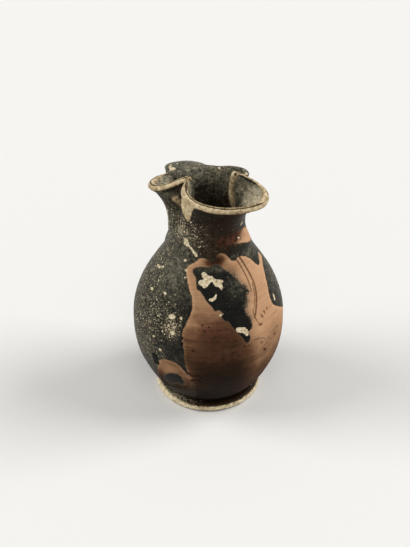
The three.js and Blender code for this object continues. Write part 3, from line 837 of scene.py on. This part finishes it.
def throat_rings(azimuth, heights, insets):
    """Rings of the throat at heights, inside its outline by insets and leaning as they rise."""
    rings = [polar(azimuth, outer_radius(height) - inset, height) for height, inset in zip(heights, insets)]
    return [ring + LEAN * smooth(height, JOINT, THROAT_HEIGHT) for ring, height in zip(rings, heights)]


def neck_grid():
    """Rings of the neck and mouth: up the outside, over the lip and down the inside."""
    share = rim_shares()
    t = 1 - (1 - np.linspace(0, 1, MOUTH_ROWS)) ** MOUTH_CROWDING
    middle, out, up = wall_frame(share, t)
    roll = lip_roll(rim_at(share), t)
    outer = middle + out * (NECK_WALL / 2 + roll)[..., None]
    inner = (middle - out * (NECK_WALL / 2))[::-1]
    arc = lip_arc(middle[-1], out[-1], up[-1], roll[-1])
    azimuth = throat_azimuth(share)
    heights = np.linspace(JOINT - NECK_OVERLAP, THROAT_HEIGHT - THROAT_STEP, THROAT_ROWS)
    insets = np.zeros(THROAT_ROWS)
    insets[: len(NECK_TUCK)] = NECK_TUCK
    outside = throat_rings(azimuth, heights, insets)
    inside = throat_rings(azimuth, heights[::-1], np.full(THROAT_ROWS, NECK_WALL))
    grid = np.stack([*outside, *outer, *arc, *inner, *inside])
    lip_row = len(outside) + len(outer) + len(arc) // 2
    inner_row = len(outside) + len(outer) + len(arc)
    return grid, share, lip_row, inner_row


def strap_section(share):
    """Points round the strap at a share of its length, as distances across it and out of it."""
    listed = np.array(HANDLE_SECTIONS)
    k = max(1, int(np.searchsorted(listed[:, 0], share)))
    part = smooth(share, listed[k - 1, 0], listed[k, 0])
    width, thickness = lerp(listed[k - 1, 1:], listed[k, 1:], part)
    tilt = math.radians(HANDLE_TILT["angle"]) * smooth(share, 0, HANDLE_TILT["from"])
    tilt *= 1 - smooth(share, HANDLE_TILT["from"], HANDLE_TILT["to"])
    angle = -2 * math.pi * (np.arange(STRAP_COLUMNS) + 0.5) / STRAP_COLUMNS
    wide, thick = width / 2 * np.cos(angle), thickness / 2 * np.sin(angle)
    return wide * math.cos(tilt) + thick * math.sin(tilt), thick * math.cos(tilt) - wide * math.sin(tilt)


def strap_grid():
    """Rings of the strap handle. Its crest is tilted, so that its -X edge is the higher one."""
    curve = through(HANDLE_LINE, pieces=40)
    shares = np.linspace(0, 1, STRAP_ROWS)
    length = run_of(curve)[-1]
    points = along(curve, shares * length)
    ahead = along(curve, np.minimum(shares * length + STRAP_NUDGE, length))
    behind = along(curve, np.maximum(shares * length - STRAP_NUDGE, 0))
    tangent = (ahead - behind) / np.linalg.norm(ahead - behind, axis=1, keepdims=True)
    rings = []
    for share, (y, z), (ty, tz) in zip(shares, points, tangent):
        across, out = strap_section(share)
        rings.append(np.stack([across, y - tz * out, z + ty * out], -1))
    grid = np.stack(rings)
    middle = grid.mean(1, keepdims=True)
    lumps = STRAP_LUMPS["share"] * (grain(grid, STRAP_LUMPS["size"], seed=11) - STRAP_LUMPS["worn"])
    return grid + (grid - middle) * lumps[..., None]


def lump_grid(back, height, size):
    """Rings of an egg-shaped lump of clay, from its top down."""
    down = np.radians(np.arange(LUMP_STEP, 180, LUMP_STEP))[:, None]
    azimuth = -columns(LUMP_COLUMNS)[None]
    x, y = np.sin(down) * np.cos(azimuth), np.sin(down) * np.sin(azimuth)
    unit = np.stack([x, y, np.cos(down) + 0 * azimuth], -1)
    return unit * np.array(size) + np.array([0, back, height])


def tree_of(mesh):
    points = [v.co for v in mesh.vertices]
    return BVHTree.FromPolygons(points, [tuple(p.vertices) for p in mesh.polygons])


def signed(tree, point, reach):
    """Distance from a point to a closed surface, negative inside, and its slope; none past the reach."""
    near_by, normal, _, distance = tree.find_nearest(point, reach)
    if near_by is None:
        return reach, Vector()
    away = point - near_by
    side = 1 if away.dot(normal) >= 0 else -1
    return side * distance, side * away / distance if distance > 1e-7 else normal


def union(point, trees, reach):
    """Distance to pieces whose angles are filled with a fillet of about that reach, and its slope."""
    value, slope = signed(trees[0], point, 2 * reach)
    for tree in trees[1:]:
        other, other_slope = signed(tree, point, 2 * reach)
        overlap = max(0, reach - abs(value - other))
        if other < value:
            value, slope, other, other_slope = other, other_slope, value, slope
        value -= overlap**2 / (4 * reach)
        slope = slope.lerp(other_slope, overlap / (2 * reach))
    return value, slope


def blended(points, own, trees):
    """Points of a piece moved out to the filleted surface; what lies inside a neighbour stays inside it."""
    reach = JOINT_REACH * MM
    out = points.copy()
    neighbours = [tree for tree in trees if tree is not own]
    for i, start in enumerate(points):
        place = Vector(start)
        nearest = min(signed(tree, place, reach)[0] for tree in neighbours)
        if nearest < reach:
            for _ in range(JOINT_ROUNDS):
                value, slope = union(place, trees, reach)
                place -= slope * ((value - min(0, nearest)) / max(slope.length_squared, LEAST_SLOPE))
            out[i] = place
    return out


def points_of(mesh):
    points = np.empty(len(mesh.vertices) * 3, np.float32)
    mesh.vertices.foreach_get("co", points)
    return points.reshape(-1, 3)


def place_points(mesh, points):
    mesh.vertices.foreach_set("co", points.astype(np.float32).ravel())
    mesh.update()


class Nodes:
    """Short ways to add shader nodes to a material."""

    def __init__(self, material):
        material.use_nodes = True
        self.tree = material.node_tree
        self.shader = self.tree.nodes["Principled BSDF"]

    def add(self, kind, **settings):
        made = self.tree.nodes.new(kind)
        for name, value in settings.items():
            setattr(made, name, value)
        return made

    def put(self, socket, value):
        if isinstance(value, bpy.types.NodeSocket):
            self.tree.links.new(value, socket)
        else:
            socket.default_value = value

    def math(self, operation, a, b=0.0, clamp=False):
        made = self.add("ShaderNodeMath", operation=operation, use_clamp=clamp)
        self.put(made.inputs[0], a)
        self.put(made.inputs[1], b)
        return made.outputs[0]

    def times(self, a, b):
        return self.math("MULTIPLY", a, b)

    def plus(self, a, b, clamp=False):
        return self.math("ADD", a, b, clamp)

    def minus(self, a, b, clamp=False):
        return self.math("SUBTRACT", a, b, clamp)

    def rest(self, share):
        return self.minus(1.0, share)

    def larger(self, a, b):
        return self.math("MAXIMUM", a, b)

    def wobble(self, value, size):
        """Noise moved to lie round 0, and scaled."""
        return self.times(self.minus(value, 0.5), size)

    def attribute(self, name):
        return self.add("ShaderNodeAttribute", attribute_name=name).outputs["Fac"]

    def stretched(self, x, y, z):
        """Object coordinates in millimetres, scaled."""
        place = self.add("ShaderNodeTexCoord").outputs["Object"]
        scaled = self.add("ShaderNodeMapping")
        scaled.inputs["Scale"].default_value = (x / MM, y / MM, z / MM)
        self.put(scaled.inputs["Vector"], place)
        return scaled.outputs["Vector"]

    def noise(self, size, detail, rough, stretch=(1, 1, 1)):
        made = self.add("ShaderNodeTexNoise")
        made.inputs["Scale"].default_value = 1 / size
        made.inputs["Detail"].default_value = detail
        made.inputs["Roughness"].default_value = rough
        self.put(made.inputs["Vector"], self.stretched(*stretch))
        return made.outputs["Fac"]

    def step(self, value, low, high):
        made = self.add("ShaderNodeMapRange", interpolation_type="SMOOTHSTEP")
        self.put(made.inputs["Value"], value)
        self.put(made.inputs["From Min"], low)
        self.put(made.inputs["From Max"], high)
        return made.outputs["Result"]

    def mix(self, share, a, b, blend="MIX"):
        made = self.add("ShaderNodeMix", data_type="RGBA", blend_type=blend)
        self.put(made.inputs["Factor"], share)
        self.put(made.inputs["A"], a)
        self.put(made.inputs["B"], b)
        return made.outputs["Result"]

    def ramp(self, value, stops):
        made = self.add("ShaderNodeValToRGB")
        elements = made.color_ramp.elements
        for index, (at, colour) in enumerate(stops):
            element = elements[index] if index < 2 else elements.new(at)
            element.position = at
            element.color = (*colour, 1)
        self.put(made.inputs["Fac"], value)
        return made.outputs["Color"]

    def edge(self, name):
        """A ragged mask from an attribute that holds a signed distance in millimetres."""
        wander, size, soft = EDGES[name]
        ragged = self.wobble(self.noise(size, *RAGGED), wander)
        return self.step(self.plus(self.attribute(name), ragged), -soft, soft)

    def flecks(self, density, size, threshold, gain, low, high):
        """Flecks of a size, more of them where the density is higher."""
        limit = self.minus(threshold, self.times(density, gain))
        return self.step(self.minus(self.noise(size, *FLECKED), limit), low, high)


# Colours
SLIP = [(0.3, (0.0035, 0.0035, 0.003)), (0.5, (0.01, 0.0095, 0.0072)), (0.63, (0.028, 0.0255, 0.018)),
        (0.8, (0.09, 0.08, 0.055))]
SLIP_SCUFFED_AND_SHEEN = [(0.3, (0.075, 0.07, 0.051)), (0.5, (0.19, 0.175, 0.122)), (0.7, (0.46, 0.4, 0.275))]
SLIP_DEEP_AND_SHADE = (0.004, 0.004, 0.0035, 1)
SLIP_WARM = (0.014, 0.0065, 0.002, 1)
# The clay's colours run from pale to near black; the dark end, on the lowest body, is partly painted shade.
CLAY_AND_SHADE = [(0.0, (0.55, 0.32, 0.18)), (0.25, (0.36, 0.2, 0.105)), (0.5, (0.098, 0.046, 0.021)),
        (0.75, (0.026, 0.0115, 0.0045)), (1.0, (0.006, 0.0032, 0.0014))]
RUST = (0.115, 0.042, 0.024, 1)
CREAM = [(0.32, (0.2, 0.135, 0.065)), (0.48, (0.55, 0.44, 0.27)), (0.64, (0.88, 0.8, 0.58))]
WORN = [(0.28, (0.09, 0.059, 0.026)), (0.47, (0.31, 0.225, 0.118)), (0.66, (0.64, 0.52, 0.335))]
WORN_FOOT = [(0.28, (0.17, 0.12, 0.06)), (0.45, (0.48, 0.385, 0.23)), (0.62, (0.8, 0.69, 0.48))]
PAINT_WASH = (0.28, 0.22, 0.17, 1)
THIN_SLIP = (0.11, 0.085, 0.058, 1)
SHINE = 0.06

# Noise of the surface, [size in millimetres, detail, roughness, stretch]
MOTTLE = (2.4, 8, 0.66)
RUBBED = (1.0, 7, 0.72)
STREAKS = (0.8, 5, 0.6, (0.05, 0.05, 1))
BROAD = (7, 3, 0.5)
RUSTY = (2.2, 6, 0.65)
CHALKY = (1.7, 7, 0.7)
CREAMY = (0.9, 6, 0.7)
RAGGED = (5, 0.65)
FLECKED = (4, 0.6)
# Ragged edges, [how far they wander, size of the wander, softness] in millimetres
EDGES = {
    "clay": (1.5, 1.3, 0.16), "black": (1.1, 1.0, 0.16), "lines": (0.5, 0.7, 0.22), "worn": (1.3, 1.2, 0.2),
    "groove": (0.5, 1.6, 0.12), "cream": (1.0, 0.9, 0.12), "shaded_chips": (0.8, 0.8, 0.15),
}
# Flecks, [size, threshold, how much their density lowers it, start and end of the soft step]
GRIME = (1.3, 0.73, 0.15, -0.02, 0.05)
SPECKS = [(0.42, 0.74, 0.18, -0.05, 0.05), (1.0, 0.74, 0.17, -0.03, 0.03), (2.1, 0.77, 0.14, -0.02, 0.02)]
SCUFF = {"spread": 0.12, "from": 0.4, "to": 0.66, "paler": 0.1, "paler_from": 0.5}
# How much the noises and a nearby edge change the clay's tone
TONE = {"streaks": 0.42, "rubbed": 0.16, "broad": 0.2, "edge": 0.16}
CLAY_EDGE, RUST_STEP = (-0.4, 2.2), (0.34, 0.6)
THIN = {"ragged": 0.5, "from": -0.35, "to": 0.5}
# Worn clay is darker near its edges: painted shade, as under the lip band's lower edge
CHALK_AND_EDGE_SHADE = {"paler": 0.16, "from": -0.4, "to": 1.4, "darker": 0.1}
# How much of a layer shows over what is under it
COVER = {"rust": 0.75, "lines": 0.9, "grime": 0.8, "thin": 0.75, "black": 0.75, "groove": 0.85, "dust": 0.8}
ROUGH = {"slip": 0.4, "clay": 0.22, "chalk": 0.35, "mottle": 0.15}
# Relief of the layers, as shares of a depth in millimetres
RELIEF = {"slip": 0.5, "cream": 1.2, "dust": 0.8, "pits": -2.0, "streaks": 0.8, "mottle": 1.4}
RELIEF_DEPTH = 0.09
RELIEF_STRENGTH = 0.7


def slip_colour(n, mottle, rubbed):
    """Black slip, warm where it is thin and grey where it is scuffed; in a few places the grey is a painted
    sheen.
    """
    slip = n.mix(n.attribute("warm"), n.ramp(mottle, SLIP), SLIP_WARM)
    wear_and_sheen = n.attribute("scuff")
    spread = n.plus(rubbed, n.times(wear_and_sheen, SCUFF["spread"]))
    scuffs = n.times(wear_and_sheen, n.step(spread, SCUFF["from"], SCUFF["to"]))
    pale = n.plus(mottle, n.times(n.step(wear_and_sheen, SCUFF["paler_from"], 1), SCUFF["paler"]))
    return n.mix(scuffs, slip, n.ramp(pale, SLIP_SCUFFED_AND_SHEEN))


def clay_colour(n, rubbed, streaks):
    """Reserved clay from pale to brown, darker towards the bottom partly as painted shade, with streaks,
    rust, brush lines, grime and a thin wash of slip.
    """
    tone = n.attribute("brown")
    for value, name in ((streaks, "streaks"), (rubbed, "rubbed"), (n.noise(*BROAD), "broad")):
        tone = n.plus(tone, n.wobble(value, TONE[name]))
    by_edge = n.rest(n.step(n.attribute("clay"), *CLAY_EDGE))
    tone = n.minus(tone, n.times(by_edge, TONE["edge"]), True)
    rust = n.times(n.attribute("rust"), n.step(n.noise(*RUSTY), *RUST_STEP))
    clay = n.mix(n.times(rust, COVER["rust"]), n.ramp(tone, CLAY_AND_SHADE), RUST)
    clay = n.mix(n.times(n.edge("lines"), COVER["lines"]), clay, PAINT_WASH, "MULTIPLY")
    grime = n.flecks(n.attribute("grime"), *GRIME)
    clay = n.mix(n.times(grime, COVER["grime"]), clay, SLIP_WARM)
    black = n.plus(n.attribute("black"), n.times(rubbed, THIN["ragged"]))
    thin = n.step(black, THIN["from"], THIN["to"])
    return n.mix(n.times(thin, COVER["thin"]), clay, THIN_SLIP)


def worn_colour(n, chalky):
    """Clay worn bare, paler away from its edge; the darker edge is painted shade, meant for the shade under
    the lip band's lower edge.
    """
    inward = n.step(n.attribute("worn"), CHALK_AND_EDGE_SHADE["from"], CHALK_AND_EDGE_SHADE["to"])
    chalk = n.plus(n.noise(*CHALKY), n.times(inward, CHALK_AND_EDGE_SHADE["paler"]))
    return n.ramp(n.minus(chalk, CHALK_AND_EDGE_SHADE["darker"]), chalky)


def relief(n, layers):
    """A bump from layers, each a share and how far it stands out."""
    height = 0.0
    for share, rise in layers:
        height = n.plus(height, n.times(share, rise))
    made = n.add("ShaderNodeBump")
    made.inputs["Strength"].default_value = RELIEF_STRENGTH
    made.inputs["Distance"].default_value = RELIEF_DEPTH * MM
    n.put(made.inputs["Height"], height)
    return made.outputs["Normal"]


def fired(name, bare=False, chalky=WORN):
    """Fired clay under worn slip: slip, reserved clay, brush strokes, cream paint, wear and specks, with
    painted shade in the chips, along worn edges and low on the body, and a painted sheen in places.
    """
    material = bpy.data.materials.new(name)
    n = Nodes(material)
    mottle, rubbed, streaks = n.noise(*MOTTLE), n.noise(*RUBBED), n.noise(*STREAKS)
    black, worn, groove, flakes, pits = map(n.edge, ("black", "worn", "groove", "cream", "shaded_chips"))
    shown = 1.0 if bare else n.times(n.edge("clay"), n.rest(black))
    colour = n.mix(shown, slip_colour(n, mottle, rubbed), clay_colour(n, rubbed, streaks))
    deep = n.times(black, n.rest(n.attribute("scuff")))
    colour = n.mix(n.times(deep, COVER["black"]), colour, SLIP_DEEP_AND_SHADE)
    colour = n.mix(worn, colour, worn_colour(n, chalky))
    colour = n.mix(n.times(groove, COVER["groove"]), colour, SLIP_WARM)
    cream = n.ramp(n.noise(*CREAMY), CREAM)
    colour = n.mix(flakes, colour, cream)
    density = n.times(n.attribute("specks"), n.rest(black))
    dust = 0.0
    for listed in SPECKS:
        dust = n.larger(dust, n.flecks(density, *listed))
    dust = n.times(dust, n.rest(n.times(shown, COVER["dust"])))
    colour = n.mix(dust, colour, cream)
    # Chips are near black: painted shade in their hollows.
    n.put(n.shader.inputs["Base Color"], n.mix(pits, colour, SLIP_DEEP_AND_SHADE))
    rough = n.plus(ROUGH["slip"], n.times(shown, ROUGH["clay"]))
    rough = n.plus(rough, n.times(n.larger(n.larger(dust, flakes), worn), ROUGH["chalk"]))
    n.put(n.shader.inputs["Roughness"], n.plus(rough, n.times(mottle, ROUGH["mottle"]), True))
    n.shader.inputs["Specular IOR Level"].default_value = SHINE
    layers = [
        (n.rest(shown), RELIEF["slip"]), (flakes, RELIEF["cream"]), (dust, RELIEF["dust"]),
        (n.larger(pits, groove), RELIEF["pits"]), (n.minus(streaks, 0.5), RELIEF["streaks"]),
        (n.minus(mottle, 0.5), RELIEF["mottle"]),
    ]
    n.put(n.shader.inputs["Normal"], relief(n, layers))
    return material


def piece(name, mesh, node, slot, material):
    """Puts a mesh in the scene in place of a CAD node."""
    thing = bpy.data.objects.new(name, mesh)
    bpy.context.scene.collection.objects.link(thing)
    mesh.materials.append(material)
    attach(thing, "root")
    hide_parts(node)


# Floor, lamps and camera
FOCAL_MM = 65.8
SENSOR_MM = 36
CAMERA_AT = (-0.1699, -0.3448, 0.3225)
CAMERA_TURN = 26
CAMERA_DOWN = 34.02
FLOOR_COLOUR = (0.72, 0.71, 0.69, 1)
FLOOR_HALF = 3
BACKDROP_COLOUR = (0.93, 0.92, 0.9, 1)
WHITE = (1, 1, 1, 1)
WORLD_LIGHT = 0.3
FLOOR_ROUGHNESS = 0.9
SUN_SPREAD = math.radians(35)
# Lamps, [name, azimuth, height in degrees, strength]
SUNS = [("left", -118, 38, 1.8), ("right", 72, 42, 2.05), ("front", -20, 55, 0.65)]


def floor():
    mesh = bpy.data.meshes.new("floor")
    corners = [(-1, -1, 0), (1, -1, 0), (1, 1, 0), (-1, 1, 0)]
    mesh.from_pydata([tuple(FLOOR_HALF * c for c in corner) for corner in corners], [], [(0, 1, 2, 3)])
    thing = bpy.data.objects.new("floor", mesh)
    bpy.context.scene.collection.objects.link(thing)
    material = bpy.data.materials.new("floor_paper")
    material.use_nodes = True
    shader = material.node_tree.nodes["Principled BSDF"]
    shader.inputs["Base Color"].default_value = FLOOR_COLOUR
    shader.inputs["Roughness"].default_value = FLOOR_ROUGHNESS
    mesh.materials.append(material)


def sun(name, azimuth, height, strength):
    """A broad soft light from an azimuth and a height above the floor, in degrees."""
    data = bpy.data.lights.new(name, "SUN")
    data.angle = SUN_SPREAD
    data.energy = strength
    thing = bpy.data.objects.new(name, data)
    turn, up = math.radians(azimuth), math.radians(height)
    toward = Vector((math.sin(turn) * math.cos(up), -math.cos(turn) * math.cos(up), math.sin(up)))
    thing.rotation_euler = toward.to_track_quat("Z", "Y").to_euler()
    bpy.context.scene.collection.objects.link(thing)


def camera():
    data = bpy.data.cameras.new("camera")
    data.lens = FOCAL_MM
    data.sensor_width = SENSOR_MM
    thing = bpy.data.objects.new("camera", data)
    thing.location = CAMERA_AT
    thing.rotation_euler = (math.radians(90 - CAMERA_DOWN), 0, math.radians(-CAMERA_TURN))
    bpy.context.scene.collection.objects.link(thing)
    bpy.context.scene.camera = thing


def world():
    made = bpy.data.worlds.new("studio")
    made.use_nodes = True
    nodes = made.node_tree.nodes
    link = made.node_tree.links.new
    soft = nodes["Background"]
    soft.inputs["Color"].default_value = WHITE
    soft.inputs["Strength"].default_value = WORLD_LIGHT
    seen = nodes.new("ShaderNodeBackground")
    seen.inputs["Color"].default_value = BACKDROP_COLOUR
    rays = nodes.new("ShaderNodeLightPath")
    choose = nodes.new("ShaderNodeMixShader")
    kinds = ("Is Camera Ray", "Is Glossy Ray", "Is Transmission Ray")
    share = rays.outputs[kinds[0]]
    for kind in kinds[1:]:
        either = nodes.new("ShaderNodeMath")
        either.operation = "MAXIMUM"
        link(share, either.inputs[0])
        link(rays.outputs[kind], either.inputs[1])
        share = either.outputs[0]
    link(share, choose.inputs["Fac"])
    link(soft.outputs[0], choose.inputs[1])
    link(seen.outputs[0], choose.inputs[2])
    link(choose.outputs[0], nodes["World Output"].inputs["Surface"])
    bpy.context.scene.world = made


def lip_band(past, azimuth, back):
    """Signed distance to the clay worn bare along the lip."""
    outside = LIP_WEAR["outside"] + bumps(azimuth, LIP_RUNS)
    inside = LIP_WEAR["inside"] + bumps(azimuth, LIP_INSIDE)
    return np.minimum(outside + past, inside - past) - LIP_WEAR["back"] * back


def fold_edge(past, share):
    """Signed distance to the worn ridge that the right pinch leaves inside the mouth."""
    aside = (share - RIGHT_PINCH + 0.5) % 1 - 0.5
    drift = FOLD_EDGE["drift"] * np.maximum(0, past - FOLD_EDGE["drift_from"])
    waist = FOLD_WAIST["depth"] * np.exp(-(((past - FOLD_WAIST["at"]) / FOLD_WAIST["reach"]) ** 2))
    half = FOLD_EDGE["half"] - waist - FOLD_END["depth"] * smooth(past, FOLD_END["from"], FOLD_END["to"])
    ridge = np.abs(aside[None] * FOLD_EDGE["rim"] + FOLD_EDGE["aside"] + drift)
    return FOLD_EDGE["steepness"] * (half - ridge)


def lip_grooves(past, azimuth, back):
    """Signed distance to the dark slip left in the groove along the lip."""
    half = GROOVE["half"] + bumps(azimuth, LIP_GROOVES)
    return half - np.abs(past - GROOVE["start"] - half) - GROOVE["back"] * back


def mouth_clouds(listed, deep, azimuth):
    """The sum of clouds inside the mouth, by azimuth of the rim and run past the lip."""
    return sum(
        strength * bump(azimuth, centre, width) * np.exp(-(((deep - depth) / high) ** 2))
        for strength, centre, width, depth, high in listed
    )


def spots_at(grid, listed):
    """Signed distance to round spots, each [point, size]."""
    return np.maximum.reduce([size - distance_from(grid, at) for at, size in listed])


def lip_paint(grid, share, lip_row, inner_row):
    """Decoration of the neck and mouth, with the worn lip, knobs and folds."""
    values = {name: value.reshape(grid.shape[:2]) for name, value in decoration(place_of(grid)).items()}
    steps = np.linalg.norm(np.diff(grid, axis=0), axis=-1)
    runs = np.vstack([np.zeros((1, grid.shape[1])), np.cumsum(steps, axis=0)])
    past = runs - runs[lip_row]
    azimuth = azimuth_of(rim_at(share)) % 360
    back = smooth(azimuth, *LIP_BACK[0]) * (1 - smooth(azimuth, *LIP_BACK[1]))
    inner = np.zeros(grid.shape[:2], bool)
    inner[inner_row:] = True
    deep = np.where(inner, past, OUT_OF_MOUTH)
    for name in PAINTED:
        values[name][inner] = -FAR
    knobs = [size - distance_from(grid, tip_of(pinch)) for size, pinch in zip(KNOB_WEAR, PINCHES)]
    fold = np.where(inner, fold_edge(past, share), -FAR)
    band = lip_band(past, azimuth, back)
    values["worn"] = np.maximum.reduce([band, *knobs, fold, spots_at(grid, LIP_FLAKES)])
    values["cream"] = np.maximum(values["cream"], spots_at(grid, RIM_SPOTS))
    values["groove"] = np.maximum(lip_grooves(past, azimuth, back), spots_at(grid, KNOB_PITS))
    values["specks"][inner] = LEAST_SPECKS
    values["specks"] = values["specks"] + mouth_clouds(MOUTH_SPECKS, deep, azimuth)
    by_lip = back * np.exp(-((past / BACK_RUBBED["reach"]) ** 2))
    scuff = lerp(values["scuff"], BACK_RUBBED["scuff"], by_lip)
    scuff[inner] = MOUTH_SCUFF
    values["scuff"] = np.clip(scuff + mouth_clouds(MOUTH_SCUFFS, deep, azimuth), 0, 1)
    warm = lerp(MOUTH_WARM["least"], 1, smooth(past, MOUTH_WARM["from"], MOUTH_WARM["to"]))
    values["warm"][inner] = warm[inner]
    return values


def plain(grid, **given):
    """Values for slip without painting, apart from the given ones."""
    values = {name: np.full(grid.shape[:2], -FAR) for name in (*PAINTED, "worn", "groove")}
    values.update({name: np.zeros(grid.shape[:2]) for name in SHARES})
    for name, value in given.items():
        values[name] = value + np.zeros(grid.shape[:2])
    return values


def foot_paint(grid, edge):
    """A worn outer edge and resting band under a dark slope with flecks."""
    front, left, flecked, right = (bump(azimuth_of(grid), *side) for side in FOOT_SIDES)
    half = FOOT_BAND["half"] - FOOT_BAND["narrower"] * front + FOOT_BAND["wider"] * left
    band = half - np.abs(edge + FOOT_BAND["lower"])
    resting = RESTING["steepness"] * smooth(grid[..., 2], RESTING["height"], 0) - 1
    slope = smooth(edge, *FOOT_SLOPE)
    specks = FOOT_SPECKS["least"] + slope * (FOOT_SPECKS["left"] * flecked + FOOT_SPECKS["right"] * right)
    worn, warm = np.maximum(band, resting), 1 - FOOT_PALER["warm"] * left
    return plain(grid, worn=worn, warm=warm, specks=specks, scuff=FOOT_PALER["scuff"] * left)


def handle_paint(grid):
    """Grey rubbed slip, with worn spots on the crest's left shoulder."""
    scuff = lerp(*STRAP_SCUFF["share"], smooth(grid[..., 2], *STRAP_SCUFF["heights"]))
    return plain(grid, scuff=scuff, specks=HANDLE_SPECKS, cream=spots_at(grid, HANDLE_SPOTS))


def foot_mesh():
    grid, edge = foot_grid()
    mesh = mesh_of("foot_ring", grid, over=True)
    paint(mesh, foot_paint(grid, edge))
    return mesh


def coil_mesh(name, section, squeeze, seed, brown):
    """A hidden coil of bare clay."""
    grid = coil_grid(section, squeeze, seed)
    mesh = mesh_of(name, grid, over=True)
    paint(mesh, plain(grid, clay=FAR, brown=brown))
    return mesh


def neck_coil_section():
    """Half a round of clay against the inside of the neck joint, as [radius, height]."""
    angles = np.radians(np.arange(180, -1, -NECK_COIL["step"]))
    radius = NECK_COIL["outer"] - NECK_COIL["thickness"] * np.sin(angles)
    return list(zip(radius, JOINT - NECK_COIL["height"] / 2 * np.cos(angles)))


def body_mesh():
    grid, outside = body_grid()
    wheel_marks(grid, outside)
    mesh = mesh_of("body", grid, tips=((0, 0, BODY_BASE), (0, 0, FLOOR_HEIGHT)))
    values = decoration(place_of(grid))
    hidden = np.ones(grid.shape[:2], bool)
    hidden[outside] = False
    for name in PAINTED:
        values[name][hidden.ravel()] = -FAR
    values["clay"][hidden.ravel()] = FAR
    paint(mesh, values)
    return mesh


def neck_mesh():
    grid, share, lip_row, inner_row = neck_grid()
    mesh = mesh_of("neck_and_mouth", grid, over=True)
    paint(mesh, lip_paint(grid, share, lip_row, inner_row))
    return mesh


def strap_mesh():
    grid = strap_grid()
    mesh = mesh_of("handle", grid, tips=(grid[0].mean(0), grid[-1].mean(0)))
    paint(mesh, handle_paint(grid))
    return mesh


def lump_mesh(name, lump):
    """A lump of clay pressed round an end of the handle."""
    grid = lump_grid(**lump)
    top, bottom = (np.array([0, lump["back"], lump["height"] + side * lump["size"][2]]) for side in (1, -1))
    mesh = mesh_of(name, grid, tips=(top, bottom))
    paint(mesh, plain(grid, scuff=LUMP_SCUFF, specks=HANDLE_SPECKS))
    return mesh


def smear_joints(body, neck, strap, upper, lower):
    """Smears the clay over where the handle meets the neck and the body."""
    trees = {mesh.name: tree_of(mesh) for mesh in (body, neck, strap, upper, lower)}
    for group in ((neck, strap, upper), (body, strap, lower)):
        group_trees = [trees[mesh.name] for mesh in group]
        moved = [blended(points_of(mesh), trees[mesh.name], group_trees) for mesh in group]
        for mesh, points in zip(group, moved):
            place_points(mesh, points)


def build():
    """Makes the jug's eight pieces and their four materials."""
    gloss, painted = fired("gloss_slip"), fired("painted_clay")
    worn = fired("worn_foot_clay", chalky=WORN_FOOT)
    bare = fired("bare_clay", bare=True)
    foot = foot_mesh()
    foot_coil = coil_mesh("foot_luting_coil", FOOT_COIL, squeeze=0.15, seed=2, brown=0.35)
    body, neck = body_mesh(), neck_mesh()
    neck_coil = coil_mesh("neck_luting_coil", neck_coil_section(), squeeze=0.2, seed=7, brown=0.6)
    strap = strap_mesh()
    upper = lump_mesh("handle_upper_fillet", UPPER_FILLET)
    lower = lump_mesh("handle_lower_fillet", LOWER_FILLET)
    smear_joints(body, neck, strap, upper, lower)
    piece("foot_ring_clay", foot, "foot_ring", "worn_foot_clay", worn)
    piece("foot_coil_clay", foot_coil, "foot_luting_coil", "bare_clay", bare)
    piece("body_clay", body, "body", "painted_clay", painted)
    piece("neck_coil_clay", neck_coil, "neck_luting_coil", "bare_clay", bare)
    piece("neck_clay", neck, "neck_and_mouth", "gloss_slip", gloss)
    piece("handle_clay", strap, "handle", "gloss_slip", gloss)
    piece("upper_fillet_clay", upper, "handle_upper_fillet", "gloss_slip", gloss)
    piece("lower_fillet_clay", lower, "handle_lower_fillet", "gloss_slip", gloss)


build()
floor()
world()
for lamp in SUNS:
    sun(*lamp)
camera()

bpy.context.scene.view_settings.view_transform = "Standard"
